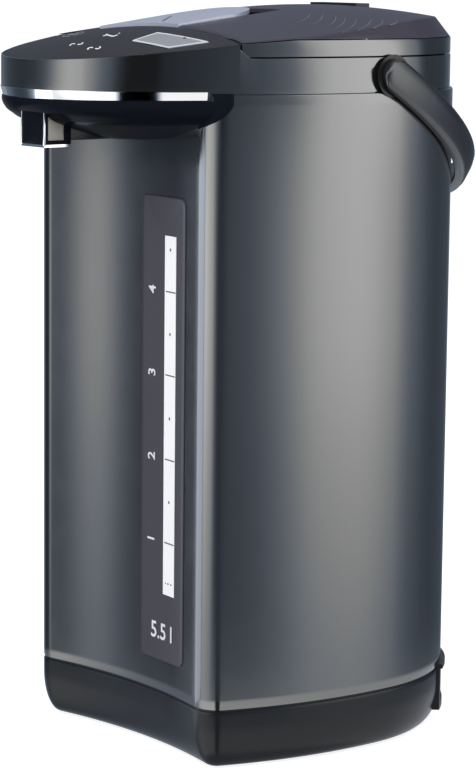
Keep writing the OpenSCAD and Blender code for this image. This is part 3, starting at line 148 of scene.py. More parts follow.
make_finish("body_paint", (0.213, 0.215, 0.216), 0.14, 0.95, mottle=(0.05, 9000.0, 1.0), vary=(0.05, 60.0),
    bump=(0.00002, 0.12, 9000.0, 1.0))
make_finish("head_grey", (0.213, 0.215, 0.217), 0.12, 0.95, mottle=(0.04, 9000.0, 1.0), vary=(0.04, 45.0))
make_finish("base_black", (0.012, 0.014, 0.017), 0.24, Specular_IOR_Level=0.3, mottle=(0.10, 35.0),
    vary=(0.06, 120.0), bump=(0.00002, 0.10, 2500.0, 2.0))
make_finish("hull_black", (0.008, 0.010, 0.015), 0.22, IOR=1.06, mottle=(0.10, 40.0), vary=(0.04, 90.0))
make_finish("panel_dark", (0.022, 0.019, 0.023), 0.46, IOR=1.36, mottle=(0.05, 900.0, 4.0), vary=(0.06, 200.0),
    bump=(0.00003, 0.15, 5000.0, 2.0))
make_finish("lid_dark", (0.046, 0.042, 0.060), 0.38, IOR=1.42, mottle=(0.05, 700.0, 4.0), vary=(0.06, 150.0),
    bump=(0.00003, 0.12, 5000.0, 2.0))
make_finish("rib_light", (0.15, 0.15, 0.19), 0.35, mottle=(0.05, 700.0))
make_finish("lever_silver", (0.66, 0.68, 0.80), 0.30, 0.45, mottle=(0.05, 7000.0, 1.0), vary=(0.06, 120.0))
make_finish("silver", (0.52, 0.52, 0.54), 0.30, 0.5, mottle=(0.03, 300.0, 1.0), vary=(0.06, 150.0))
make_finish("bright_trim", (0.88, 0.88, 0.90), 0.07, 1.0, mottle=(0.02, 30.0), vary=(0.03, 140.0))
make_finish("frame_bright", (0.84, 0.85, 0.88), 0.30, 0.25, mottle=(0.03, 900.0), vary=(0.05, 400.0))
make_finish("gauge_dark", (0.050, 0.046, 0.057), 0.34, IOR=1.42, mottle=(0.04, 500.0, 3.0), vary=(0.05, 140.0))
# The gauge's white finish glows faintly (Emission Strength 0.17): painted light, since the window is no lamp.
make_finish("gauge_white", (0.93, 0.93, 0.93), 0.35, Emission_Strength=0.17, mottle=(0.02, 60.0), vary=(0.05, 160.0))
make_finish("print_white", (0.90, 0.90, 0.90), 0.5, mottle=(0.04, 2000.0, 2.0))
make_finish("print_grey", (0.36, 0.36, 0.38), 0.5, mottle=(0.05, 2000.0, 2.0))
make_finish("print_dark", (0.10, 0.10, 0.11), 0.5, mottle=(0.10, 2000.0, 2.0))
make_finish("slit_dark", (0.015, 0.015, 0.018), 0.6, mottle=(0.10, 900.0))
make_finish("milky_plastic", (0.62, 0.60, 0.54), 0.34, mottle=(0.04, 90.0), vary=(0.06, 300.0))
make_finish("spout_cream", (0.47, 0.44, 0.38), 0.4, mottle=(0.04, 90.0), vary=(0.06, 300.0))
make_finish("black_plastic", (0.014, 0.014, 0.015), 0.30, mottle=(0.12, 60.0), vary=(0.08, 160.0),
    bump=(0.00003, 0.15, 3500.0, 2.0))
make_finish("handle_black", (0.105, 0.107, 0.112), 0.26, 0.85, mottle=(0.10, 50.0), vary=(0.06, 140.0))
make_finish("clear_tube", (0.93, 0.95, 0.95), 0.04, Transmission_Weight=1.0, IOR=1.47, vary=(0.03, 120.0))
make_finish("hose_rubber", (0.68, 0.66, 0.60), 0.42, mottle=(0.06, 80.0),
    bump=(0.0001, 0.10, 900.0, 2.0, (0.2, 0.2, 3.0)))
make_finish("foot_rubber", (0.020, 0.020, 0.021), 0.75, mottle=(0.15, 200.0), bump=(0.0001, 0.3, 1600.0, 4.0))
make_finish("stainless", (0.62, 0.62, 0.63), 0.28, 1.0, mottle=(0.05, 160.0, 4.0, (1.0, 1.0, 30.0)),
    vary=(0.12, 160.0, 4.0, (1.0, 1.0, 30.0)))
make_finish("steel_small", (0.60, 0.60, 0.62), 0.25, 1.0, mottle=(0.06, 400.0), vary=(0.10, 900.0))
make_finish("motor_metal", (0.45, 0.46, 0.48), 0.36, 1.0, mottle=(0.08, 150.0), vary=(0.12, 500.0))
make_finish("brass", (0.72, 0.56, 0.26), 0.24, 1.0, mottle=(0.08, 300.0), vary=(0.10, 900.0))
make_finish("felt", (0.66, 0.62, 0.50), 0.95, mottle=(0.20, 900.0, 6.0), bump=(0.0004, 0.6, 900.0, 6.0))
board = make_finish("board_green", (0.02, 0.13, 0.05), 0.35)
board.mottle(board.add("ShaderNodeTexBrick", None, {"Vector": board.place, "Scale": 160.0, "Mortar Size": 0.03},
    output=1), 0.35)
make_finish("dark_parts", (0.035, 0.035, 0.040), 0.4, mottle=(0.2, 250.0), vary=(0.1, 400.0))


DRESS = {
    "body_paint": ["outer_shell"],
    "base_black": ["base_shell"],
    "head_grey": ["head_shell", "lid_rim"],
    "hull_black": ["head_hull", "spout_cover"],
    "panel_dark": ["control_panel"],
    "lid_dark": ["lid_top"],
    "bright_trim": ["bright_band", "spout_trim", "button_bezel"],
    "silver": ["dispense_button"],
    "lever_silver": ["lid_lever"],
    "gauge_dark": ["gauge_plate"],
    "gauge_white": ["gauge_window"],
    "milky_plastic": ["spout_nozzle", "gauge_holder", "pump_housing", "pump_cover", "impeller", "steam_tube"],
    "black_plastic": ["bottom_cover", "inlet_housing", "lid_liner", "steam_cap", "latch_bolt", "hinge_block",
        "right_pivot", "left_pivot", "pump_bracket", "button_switch"],
    "handle_black": ["handle"],
    "clear_tube": ["sight_tube"],
    "hose_rubber": ["inlet_hose", "lower_hose", "upper_hose", "lid_gasket"],
    "foot_rubber": ["feet"],
    "stainless": ["inner_pot", "inner_cover", "heater_plate"],
    "steel_small": ["cover_screws", "lid_screws", "lever_pin", "lever_spring", "hinge_pin", "motor_shaft"],
    "motor_metal": ["pump_motor", "transformer"],
    "brass": ["inlet_pins", "thermostats"],
    "felt": ["pot_insulation"],
    "board_green": ["power_board", "control_board"],
    "dark_parts": ["board_parts", "drive_magnet"],
}


def dress_nodes():
    for name, nodes in DRESS.items():
        for node in nodes:
            mesh = NODES[node].data
            mesh.materials.clear()
            mesh.materials.append(FINISHES[name])


# ---- The body's outlines ----

BODY_R = 100.0
RIDGE = Vector((69.6, -94.6))
RIDGE_R = 13.8
SCOOP_SAG = 7.6
SIDE_R = 258.0
COLLAR_IN = 1.8
TIP = Vector((0.0, -98.5))
TIP_R = 74.2
BLEND_R = 139.5
LID_FRONT_Y = 83.0
LID_FRONT_R = 316.0
LID_GAP = 1.2
LID_FRONT = Vector((0.0, -LID_FRONT_Y - LID_FRONT_R))

FOOT_TOP = 1.2
BASE_TOP = 34.5
JACKET_TOP = 365.9
COLLAR_TOP = 384.6
RIM_TOP = 394.3
BAND_BOTTOM = 362.3
BAND_TOP = 367.5
DATUM_Y = -100.0
PANEL_Z = 391.3
SLOPE = 0.1157
PANEL_CROWN = 6.0


def angle_of(v):
    return math.atan2(v.y, v.x)


def meet(c1, r1, c2, r2, side):
    """Where two circles meet, on one side of the line between their centres."""
    v = c2 - c1
    d = v.length
    a = (d * d + r1 * r1 - r2 * r2) / (2 * d)
    return c1 + v * (a / d) + Vector((-v.y, v.x)) * (side * math.sqrt(max(0.0, r1 * r1 - a * a)) / d)


def arc(centre, r, start, end, count):
    """Points along an arc, its first one left out."""
    steps = [start + (end - start) * k / count for k in range(1, count + 1)]
    return [(centre.x + r * math.cos(t), centre.y + r * math.sin(t)) for t in steps]


def tip_arc(inset, count):
    """The head's tip, which swells by the collar's inset from the flanks to the nose."""
    made = []
    for k in range(1, count + 1):
        u = min(1.0, 2 * k / count)
        r = TIP_R - inset - COLLAR_IN * (1 - u * u * (3 - 2 * u))
        t = TIP_FROM + (-math.pi / 2 - TIP_FROM) * k / count
        made.append((TIP.x + r * math.cos(t), TIP.y + r * math.sin(t)))
    return made


def whole(half):
    """A closed outline from its right half, which runs from the back to the front."""
    return half + [(-x, y) for x, y in half[-2:0:-1]]


MIDDLE = Vector((0.0, 0.0))
SIDE = meet(MIDDLE, SIDE_R - BODY_R, RIDGE, SIDE_R - RIDGE_R, -1)
SCOOP_R = (RIDGE.x ** 2 + SCOOP_SAG ** 2) / (2 * SCOOP_SAG) - RIDGE_R
SCOOP = Vector((0.0, -(SCOOP_R - RIDGE.y + RIDGE_R - SCOOP_SAG)))
BLEND = meet(SIDE, SIDE_R - BLEND_R, TIP, BLEND_R - TIP_R, 1)
SIDE_FROM = angle_of(-SIDE)
RIDGE_FROM = angle_of(RIDGE - SIDE)
BLEND_FROM = angle_of(BLEND - SIDE)
TIP_FROM = angle_of(TIP - BLEND)
BAND_END_Y = SIDE.y + SIDE_R * math.sin(BLEND_FROM) + 13.4


def body_outline(inset):
    return whole([(0.0, BODY_R - inset)]
        + arc(MIDDLE, BODY_R - inset, math.pi / 2, SIDE_FROM, 44)
        + arc(SIDE, SIDE_R - inset, SIDE_FROM, RIDGE_FROM, 16)
        + arc(RIDGE, RIDGE_R - inset, RIDGE_FROM, angle_of(SCOOP - RIDGE), 18)
        + arc(SCOOP, SCOOP_R + inset, angle_of(RIDGE - SCOOP), math.pi / 2, 14))


def head_outline(inset):
    j = inset + COLLAR_IN
    return whole([(0.0, BODY_R - j)]
        + arc(MIDDLE, BODY_R - j, math.pi / 2, SIDE_FROM, 44)
        + arc(SIDE, SIDE_R - j, SIDE_FROM, BLEND_FROM, 22)
        + arc(BLEND, BLEND_R - j, BLEND_FROM, TIP_FROM, 16)
        + tip_arc(inset, 30))


def lid_outline(inset):
    rs = SIDE_R - COLLAR_IN - inset
    rf = LID_FRONT_R + LID_GAP + inset
    corner = meet(LID_FRONT, rf, SIDE, rs, -1)
    return whole([(0.0, BODY_R - COLLAR_IN - inset)]
        + arc(MIDDLE, BODY_R - COLLAR_IN - inset, math.pi / 2, SIDE_FROM, 44)
        + arc(SIDE, rs, SIDE_FROM, angle_of(corner - SIDE), 24)
        + arc(LID_FRONT, rf, angle_of(corner - LID_FRONT), math.pi / 2, 18))


def panel_outline(inset):
    rs = SIDE_R - COLLAR_IN - inset
    rf = LID_FRONT_R
    corner = meet(LID_FRONT, rf, SIDE, rs, -1)
    return whole([(0.0, LID_FRONT.y + rf)]
        + arc(LID_FRONT, rf, math.pi / 2, angle_of(corner - LID_FRONT), 18)
        + arc(SIDE, rs, angle_of(corner - SIDE), BLEND_FROM, 3)
        + arc(BLEND, BLEND_R - COLLAR_IN - inset, BLEND_FROM, TIP_FROM, 14)
        + tip_arc(inset, 30))


def scoop_y(x, inset=0.0):
    """The hollow front face of the body at x."""
    r = SCOOP_R + inset
    return SCOOP.y + math.sqrt(r * r - x * x)


def slope_z(y):
    """The sloping plane of the head's upper edge."""
    return PANEL_Z + SLOPE * (y - DATUM_Y)


def dome_z(x, y):
    """The crowned top of the lid."""
    fall = 4.6 * ((y + 3) / 50) ** 2 if y > -3 else 0.0
    return slope_z(y) + PANEL_CROWN + 0.5 - 6.9 * (x / 90) ** 2 - fall


def rim_z(x, y):
    return min(RIM_TOP, dome_z(x, y) - 0.6)


# ---- Making meshes ----

def piece(name, points, faces, look, body, nodes=(), sharp=32.0, slot=None):
    """A smooth piece that rides on a body and may stand for CAD nodes; points are in millimetres."""
    mesh = bpy.data.meshes.new(name)
    mesh.from_pydata([tuple(c * MM for c in p) for p in points], [], faces)
    shape = bmesh.new()
    shape.from_mesh(mesh)
    bmesh.ops.remove_doubles(shape, verts=shape.verts, dist=0.004 * MM)
    bmesh.ops.recalc_face_normals(shape, faces=shape.faces)
    shape.to_mesh(mesh)
    shape.free()
    made = bpy.data.objects.new(name, mesh)
    bpy.context.scene.collection.objects.link(made)
    mesh.materials.append(FINISHES[look])
    smooth(mesh, sharp)
    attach(made, body)
    if nodes:
        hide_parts(*nodes)
    slot or SLOTS.get(look, look)
    return made


# The slot of each finish that shares another's
SLOTS = {"print_white": "gauge_white", "print_grey": "gauge_white", "print_dark": "dark_parts",
    "lid_dark": "panel_dark", "rib_light": "panel_dark", "spout_cream": "milky_plastic", "slit_dark": "dark_parts",
    "frame_bright": "bright_trim", "lever_silver": "silver", "handle_black": "black_plastic"}


def smooth(mesh, sharp):
    mesh.polygons.foreach_set("use_smooth", [True] * len(mesh.polygons))
    mesh.set_sharp_from_angle(angle=math.radians(sharp))


def loft(rings, closed=False):
    """Points and faces through rings of the same length; closed joins the last ring to the first."""
    n = len(rings[0])
    m = len(rings)
    points = [p for ring in rings for p in ring]
    faces = []
    for k in range(m if closed else m - 1):
        a, b = k * n, ((k + 1) % m) * n
        faces += [(a + j, a + (j + 1) % n, b + (j + 1) % n, b + j) for j in range(n)]
    if not closed:
        faces += [tuple(range(n - 1, -1, -1)), tuple(range((m - 1) * n, m * n))]
    return points, faces


def side_name(side):
    return "right" if side > 0 else "left"


def lift(outline, z):
    return [(x, y, z(x, y) if callable(z) else z) for x, y in outline]


def shrink(outline, centre, share):
    return [(centre[0] + share * (x - centre[0]), centre[1] + share * (y - centre[1])) for x, y in outline]


BOX_FACES = [(0, 2, 3, 1), (4, 5, 7, 6), (0, 1, 5, 4), (2, 6, 7, 3), (0, 4, 6, 2), (1, 3, 7, 5)]


def box_points(low, high):
    (x0, y0, z0), (x1, y1, z1) = low, high
    points = [(x, y, z) for z in (z0, z1) for y in (y0, y1) for x in (x0, x1)]
    return points, BOX_FACES


def cutter(points, faces, turn=0.0):
    mesh = bpy.data.meshes.new("cutter")
    mesh.from_pydata([tuple(c * MM for c in p) for p in points], [], faces)
    mesh.transform(Matrix.Rotation(math.radians(turn), 4, "Z"))
    shape = bmesh.new()
    shape.from_mesh(mesh)
    bmesh.ops.recalc_face_normals(shape, faces=shape.faces)
    shape.to_mesh(mesh)
    shape.free()
    tool = bpy.data.objects.new("cutter", mesh)
    bpy.context.scene.collection.objects.link(tool)
    return tool


def apply_modifiers(made, sharp=32.0):
    """Turns a piece's modifiers into its mesh."""
    bpy.context.view_layer.update()
    graph = bpy.context.evaluated_depsgraph_get()
    mesh = bpy.data.meshes.new_from_object(made.evaluated_get(graph))
    old = made.data
    made.modifiers.clear()
    made.data = mesh
    bpy.data.meshes.remove(old)
    smooth(mesh, sharp)


def carve(made, tools, operation="DIFFERENCE", sharp=32.0):
    """Cuts a piece with tools, which are then thrown away."""
    for tool in tools:
        cut = made.modifiers.new("cut", "BOOLEAN")
        cut.operation = operation
        cut.solver = "EXACT"
        cut.object = tool
    apply_modifiers(made, sharp)
    for tool in tools:
        bpy.data.objects.remove(tool)


def round_edges(made, width, segments=3):
    bevel = made.modifiers.new("round", "BEVEL")
    bevel.width = width * MM
    bevel.segments = segments
    bevel.limit_method = "ANGLE"
    bevel.angle_limit = math.radians(40.0)
    apply_modifiers(made, 50.0)


def soften_group():
    """Shades a CAD node smooth, apart from its edges."""
    group = bpy.data.node_groups.new("soften", "GeometryNodeTree")
    group.interface.new_socket("Geometry", in_out="INPUT", socket_type="NodeSocketGeometry")
    group.interface.new_socket("Geometry", in_out="OUTPUT", socket_type="NodeSocketGeometry")
    enter = group.nodes.new("NodeGroupInput")
    leave = group.nodes.new("NodeGroupOutput")
    weld = group.nodes.new("GeometryNodeMergeByDistance")
    weld.inputs["Distance"].default_value = 0.002 * MM
    faces = group.nodes.new("GeometryNodeSetShadeSmooth")
    edges = group.nodes.new("GeometryNodeSetShadeSmooth")
    edges.domain = "EDGE"
    edges.inputs["Shade Smooth"].default_value = False
    angle = group.nodes.new("GeometryNodeInputMeshEdgeAngle")
    steep = group.nodes.new("ShaderNodeMath")
    steep.operation = "GREATER_THAN"
    steep.inputs[1].default_value = math.radians(28.0)
    group.links.new(enter.outputs[0], weld.inputs["Geometry"])
    group.links.new(weld.outputs[0], faces.inputs["Geometry"])
    group.links.new(faces.outputs[0], edges.inputs["Geometry"])
    group.links.new(angle.outputs["Unsigned Angle"], steep.inputs[0])
    group.links.new(steep.outputs[0], edges.inputs["Selection"])
    group.links.new(edges.outputs[0], leave.inputs[0])
    return group


def soften_nodes():
    group = soften_group()
    for node in NODES.values():
        node.modifiers.new("soften", "NODES").node_group = group


# ---- Body and base ----

INLET_TURN = 50.0


def inlet_cut():
    """The room that the power socket takes out of the body."""
    return cutter(*box_points((84.0, -23.3, 8.0), (110.0, 23.3, 35.7)), turn=INLET_TURN)


def make_jacket():
    profile = [(0.9, BASE_TOP), (0.25, BASE_TOP + 0.35), (0.0, BASE_TOP + 1.2), (0.0, BASE_TOP + 6),
        (0.0, JACKET_TOP - 6), (0.0, JACKET_TOP - 1.2), (0.25, JACKET_TOP - 0.35), (0.9, JACKET_TOP),
        (9.0, JACKET_TOP), (9.0, JACKET_TOP - 1), (1.2, JACKET_TOP - 1.4), (1.2, BASE_TOP + 0.2)]
    shape = loft([lift(body_outline(inset), z) for inset, z in profile], closed=True)
    jacket = piece("jacket", *shape, "body_paint", "pot", ["outer_shell"])
    carve(jacket, [inlet_cut()])


def make_base():
    steps = [math.radians(90.0 * k / 12) for k in range(13)]
    profile = [(10 * (1 - math.sin(a)), FOOT_TOP + 24 * (1 - math.cos(a))) for a in steps]
    profile += [(0.0, BASE_TOP - 3), (0.0, BASE_TOP - 1.6), (0.25, BASE_TOP - 1.1), (0.8, BASE_TOP - 0.9),
        (0.8, BASE_TOP), (3.0, BASE_TOP), (3.2, 26.0), (6.0, 14.0), (13.0, 9.0), (13.0, 3.9), (10.95, 3.9),
        (10.95, FOOT_TOP)]
    shape = loft([lift(body_outline(inset), z) for inset, z in profile], closed=True)
    base = piece("base", *shape, "base_black", "pot", ["base_shell"])
    carve(base, [inlet_cut()])


# ---- Head ----

CORNER_R = 5.5


def behind_front(x, y):
    """How far a point lies behind the lid's front edge, along the flank."""
    return math.hypot(x, y - LID_FRONT.y) - LID_FRONT_R


def seam_z(x, y):
    """The seam under the lid: level, and turned up at its front corner."""
    s = behind_front(x, y)
    if s >= CORNER_R:
        return COLLAR_TOP
    return COLLAR_TOP + CORNER_R - math.sqrt(max(0.0, CORNER_R ** 2 - (CORNER_R - max(0.0, s)) ** 2))


def make_collar():
    """The outer skin of the head and collar over the solid shell."""
    proud = 0.12
    outer = head_outline(-proud)
    inner = head_outline(0.5)

    def split(outline):
        """The outline with a second point where the lid's edge crosses it."""
        made = []
        n = len(outline)
        for k, (x, y) in enumerate(outline):
            made.append((x, y, behind_front(x, y)))
            x2, y2 = outline[(k + 1) % n]
            s1, s2 = behind_front(x, y), behind_front(x2, y2)
            if s1 * s2 < 0:
                t = s1 / (s1 - s2)
                xm, ym = x + t * (x2 - x), y + t * (y2 - y)
                first, last = (0.001, -0.001) if s1 > 0 else (-0.001, 0.001)
                made.append((xm, ym, first))
                made.append((xm, ym, last))
        return made

    def top(x, y, s):
        return slope_z(y) if s < 0 else seam_z(x, y)

    def foot(x, y):
        return BAND_TOP + 0.05 if y < BAND_END_Y else JACKET_TOP + 0.6

    a, b = split(outer), split(inner)
    rings = [[(x, y, foot(x, y)) for x, y, s in a], [(x, y, top(x, y, s) - 0.5) for x, y, s in a],
        [(x * 0.9985, y + 0.1 if y < 0 else y - 0.1, top(x, y, s)) for x, y, s in a],
        [(x, y, top(x, y, s)) for x, y, s in b], [(x, y, foot(x, y)) for x, y, s in b]]
    piece("collar_skin", *loft(rings, closed=True), "head_grey", "pot")


def rail(outline, section, keep):
    """A strip along part of an outline: section is a list of (inset, height)."""
    lines = [outline(inset) for inset, _ in section]
    rings = [[(line[k][0], line[k][1], z) for line, (_, z) in zip(lines, section)]
        for k in range(len(lines[0])) if keep(*lines[0][k])]
    return loft(rings)


def make_band():
    section = [(1.7, BAND_BOTTOM), (0.95, BAND_BOTTOM), (0.9, BAND_BOTTOM + 0.2), (-0.5, BAND_TOP - 0.3),
        (-0.4, BAND_TOP), (1.7, BAND_TOP)]
    points, faces = rail(head_outline, section, lambda x, y: y < BAND_END_Y)
    piece("bright_strip", points, faces, "bright_trim", "pot", ["bright_band"], sharp=20.0)


HULL_ROWS = [(0.02, 0.02, 1.0), (0.18, 0.2, 0.985), (0.42, 0.41, 0.92), (0.6, 0.57, 0.80), (0.8, 0.74, 0.64),
    (0.93, 0.85, 0.515), (0.965, 0.9, 0.42), (0.995, 0.955, 0.3), (1.01, 0.99, 0.13), (1.004, 0.994, 0.0)]
HULL_DEPTH = 24.0
# The half outline's points that the bowl uses; its last four, at the nose, are left out
NOSE_POINTS = 109
HULL_Y = -95.0


def between(rows, fine):
    """Rows joined by smooth curves, with fine steps from each to the next."""
    made = []
    for k in range(len(rows) - 1):
        p0, p1, p2, p3 = rows[max(0, k - 1)], rows[k], rows[k + 1], rows[min(len(rows) - 1, k + 2)]
        for step in range(fine):
            t = step / fine
            made.append(tuple(0.5 * (2 * b + (c - a) * t + (2 * a - 5 * b + 4 * c - d) * t * t
                + (3 * b - a - 3 * c + d) * t ** 3) for a, b, c, d in zip(p0, p1, p2, p3)))
    return made + [rows[-1]]


def nose_outline():
    """The head's outline in front of the body, closed by a line through the body."""
    front = [(x, y) for x, y in head_outline(0.0)[:NOSE_POINTS] if y < -80.0]
    return whole([(0.0, front[0][1])] + front)


def hull_rings(inset, drop):
    rings = []
    for wide, reach, deep in between(HULL_ROWS, 3):
        if 0.0 < deep * HULL_DEPTH < drop + 0.5:
            continue
        z = BAND_BOTTOM - HULL_DEPTH * deep + (drop if deep > 0.001 else 0.0)
        rings.append([(x * (wide - inset), HULL_Y + (y - HULL_Y) * (reach - inset), z) for x, y in nose_outline()])
    return rings


# The bowl's wings over the body's front corners: share of the way from the side to the front, and lower edge
CHEEK = [(0.0, 360.4), (0.05, 358.6), (0.13, 356.6), (0.25, 354.4), (0.45, 351.6), (0.7, 349.4), (1.0, 347.4)]
CHEEK_TOP = 366.3


def make_cheeks():
    turn = angle_of(SCOOP - RIDGE)
    for side in (1, -1):
        rings = []
        for share, low in CHEEK:
            t = RIDGE_FROM + 0.12 + (turn - RIDGE_FROM - 0.12) * share
            swell = 0.9 * min(1.0, 0.25 + 6 * share)

            def at(out, z):
                r = RIDGE_R + out
                return (side * (RIDGE.x + r * math.cos(t)), RIDGE.y + r * math.sin(t), z)

            rings.append([at(-0.6, low), at(0.25 * swell, low), at(0.8 * swell, low + 0.5), at(swell, low + 1.3),
                at(swell, CHEEK_TOP - 0.5), at(swell - 0.3, CHEEK_TOP), at(-0.6, CHEEK_TOP)])
        piece("cheek_" + side_name(side), *loft(rings), "hull_black", "pot", sharp=50.0)


COVER_W = 43.0
SPOUT_W = 21.0
SPOUT_D = 17.5
SPOUT_Y = -168.0
SPOUT_Z = 337.9


def cover_box(grow):
    return box_points((-COVER_W / 2 - grow, -200.0, 330.0), (COVER_W / 2 + grow, SPOUT_Y + SPOUT_D + 8 + grow, 370.0))


def make_hull():
    wall = 2.0
    inner = hull_rings(wall / TIP_R, wall)
    points, faces = loft(hull_rings(0.0, 0.0) + inner[::-1])

    def behind():
        return cutter(*loft([lift(body_outline(-0.15), z) for z in (330.0, 380.0)]))

    hull = piece("bowl", points, faces, "hull_black", "pot", ["head_hull"])
    carve(hull, [behind(), cutter(*cover_box(0.15))])
    cover = piece("front_cover", points, faces, "hull_black", "pot", ["spout_cover"])
    carve(cover, [cutter(*cover_box(0.0))], "INTERSECT")
    carve(cover, [behind()])


def make_spout():
    """The chute under the head: dark walls round a pale tube, with a slanting window in each side."""
    top = BAND_BOTTOM - 6.0
    x1, y0, y1 = SPOUT_W / 2, SPOUT_Y, SPOUT_Y + SPOUT_D
    chute = piece("spout_chute", *box_points((-x1, y0, SPOUT_Z), (x1, y1, top)), "hull_black", "pot")
    wall = 1.6
    tools = [cutter(*box_points((-x1 + wall, y0 + wall, SPOUT_Z - 1), (x1 - wall, y1 - wall, top - 2)))]
    window = [(y0 + 2.6, SPOUT_Z + 2.2), (y1 - 4.2, SPOUT_Z + 2.2), (y1 - 4.2, SPOUT_Z + 11.3),
        (y0 + 2.6, SPOUT_Z + 17.2)]
    rings = [[(x, y, z) for y, z in window] for x in (-x1 - 2, x1 + 2)]
    tools.append(cutter(*loft(rings)))
    carve(chute, tools)
    round_edges(chute, 0.5, 2)
    for side in (1, -1):
        x = side * (x1 - 1.0)
        pane = [(x, y, z) for y, z in window] + [(x - side * 0.6, y, z) for y, z in window]
        faces = [(0, 1, 2, 3), (4, 5, 6, 7), (0, 1, 5, 4), (1, 2, 6, 5), (2, 3, 7, 6), (3, 0, 4, 7)]
        piece("spout_window_" + side_name(side), pane, faces, "spout_cream", "pot")
        middle = side * (x1 - 0.3)
        post = box_points((middle - 0.5, y0 - 0.35, SPOUT_Z - 0.5), (middle + 0.5, y0 + 1.0, top + 1.0))
        round_edges(piece("spout_post_" + side_name(side), *post, "bright_trim", "pot"), 0.25, 2)


def make_duct_and_shade():
    """The way from the chute back to the body, under the bowl: a black block that is partly a duct and partly painted
    shade, filling the shadowed opening there.
    """
    duct = piece("spout_duct_and_shade", *box_points((-9.0, -151.0, 339.6), (9.0, -106.0, 352.0)), "black_plastic", "pot")
    round_edges(duct, 1.2, 3)


def make_panel():
    edge = panel_outline(0.8)
    back = LID_FRONT.y

    def rear(x):
        return back + math.sqrt(LID_FRONT_R ** 2 - x * x)

    def ring(share, rise):
        made = []
        for x, y in edge:
            nx = share * x
            ny = rear(nx) + share * (y - rear(x))
            made.append((nx, ny, slope_z(ny) + PANEL_CROWN * (1 - share * share) + rise))
        return made

    rings = [ring(1.0, -1.6), ring(1.0, -0.5), ring(0.998, -0.15), ring(0.993, 0.0)]
    rings += [ring(share, 0.0) for share in (0.97, 0.93, 0.88, 0.8, 0.7, 0.6, 0.48, 0.36, 0.24, 0.12, 0.03)]
    panel = piece("panel", *loft(rings), "panel_dark", "pot", ["control_panel"])
    height = surface_of(panel)
    make_panel_marks(height)
    make_button_frame(height)
    carve(panel, [cutter(*loft([button_ring(1.7, z) for z in (-12.0, 14.0)]))])


def surface_of(made):
    """Finds the height of a surface under a point, in millimetres."""
    tree = BVHTree.FromPolygons([made.matrix_world @ v.co for v in made.data.vertices],
        [tuple(p.vertices) for p in made.data.polygons])

    def height(x, y):
        hit = tree.ray_cast(Vector((x * MM, y * MM, 1.0)), Vector((0.0, 0.0, -1.0)))[0]
        return hit.z / MM if hit else slope_z(y)
    return height


def stroke(name, path, width, height, look, body, at=None):
    """A thin flat line on a surface; at is the place and stretch of a mark that is read from the pot's right front."""
    left, right = [], []
    for k, (x, y) in enumerate(path):
        x0, y0 = path[max(0, k - 1)]
        x1, y1 = path[min(len(path) - 1, k + 1)]
        run = math.hypot(x1 - x0, y1 - y0)
        nx, ny = -(y1 - y0) / run * width / 2, (x1 - x0) / run * width / 2
        left.append((x + nx, y + ny))
        right.append((x - nx, y - ny))
    if at:
        cx, cy, stretch = at
        left, right = [[(cx + 0.633 * u - 0.774 * stretch * v, cy + 0.774 * u + 0.633 * stretch * v) for u, v in line]
            for line in (left, right)]
    rings = [[(xa, ya, height(xa, ya) - 0.2), (xb, yb, height(xb, yb) - 0.2), (xb, yb, height(xb, yb) + 0.06),
        (xa, ya, height(xa, ya) + 0.06)] for (xa, ya), (xb, yb) in zip(left, right)]
    piece(name, *loft(rings), look, body)


def circle(cx, cy, rx, ry, start, end, count=16):
    steps = [math.radians(start + (end - start) * k / count) for k in range(count + 1)]
    return [(cx + rx * math.cos(t), cy + ry * math.sin(t)) for t in steps]


def make_panel_marks(height):
    """Small plain marks on the panel: rings, waves, dots and hooks that spell nothing."""
    ring = (-50.0, -105.5, 2.6)
    for number, (start, end) in enumerate(((10, 80), (100, 170), (190, 260), (280, 350))):
        stroke("heat_ring_%d" % number, circle(0, 0, 5.8, 5.2, start, end), 0.6, height, "print_grey", "pot", ring)
    for number, v in enumerate((-2.0, 0.0, 2.0)):
        wave = [(-3.0 + 0.75 * k, v + 0.5 * math.sin(k * 1.05)) for k in range(9)]
        stroke("heat_wave_%d" % number, wave, 0.5, height, "print_grey", "pot", ring)
    warm = (-2.0, -115.5, 3.2)
    wave = [(-3.9 + 0.65 * k, 0.15 - 0.1 * k + 0.95 * math.sin(k * 0.55)) for k in range(13)]
    stroke("warm_wave", wave, 1.1, height, "print_white", "pot", warm)
    for number, (u, v) in enumerate(((-2.2, 1.9), (4.6, 1.2))):
        stroke("warm_dot_%d" % number, [(u - 0.5, v), (u + 0.5, v)], 0.9, height, "print_white", "pot", warm)
    signs = ((0.2, -139.5, -2.2), (0.2, -139.5, 1.9), (22.0, -144.0, -2.0), (22.0, -144.0, 2.0))
    for number, (x, y, u) in enumerate(signs):
        hook = circle(u, 0.0, 1.3, 0.9, 20 + 180 * (number % 2), 230 + 180 * (number % 2), 8)
        stroke("panel_sign_%d" % number, hook, 0.75, height, "print_white", "pot", (x, y, 3.2))


def make_button_frame(height):
    """A bright frame round the button."""
    rings = []
    for grow, rise in ((0.35, -1.0), (0.35, 0.55), (0.6, 0.8), (1.1, 0.8), (1.4, 0.5), (1.4, -1.0)):
        corners = button_ring(grow, 0.0)
        ring = []
        for k, (x0, y0, _) in enumerate(corners):
            x1, y1, _ = corners[(k + 1) % 4]
            for step in range(10):
                x, y = x0 + (x1 - x0) * step / 10, y0 + (y1 - y0) * step / 10
                ring.append((x, y, height(x, y) + rise))
        rings.append(ring)
    piece("button_frame", *loft(rings, closed=True), "frame_bright", "pot", sharp=25.0)


def make_button_dimple():
    """The small dark dimple on the button."""
    height = surface_of(NODES["dispense_button"])
    cx, cy = 49.3, -104.8
    spots = circle(cx, cy, 1.15, 0.8, 0, 345, 23)
    rings = [[(cx + k * (x - cx), cy + k * (y - cy), height(x, y) + rise) for x, y in spots]
        for k, rise in ((1.0, -0.2), (1.0, 0.12), (0.8, 0.3), (0.3, 0.34))]
    piece("button_dimple", *loft(rings), "slit_dark", "button")


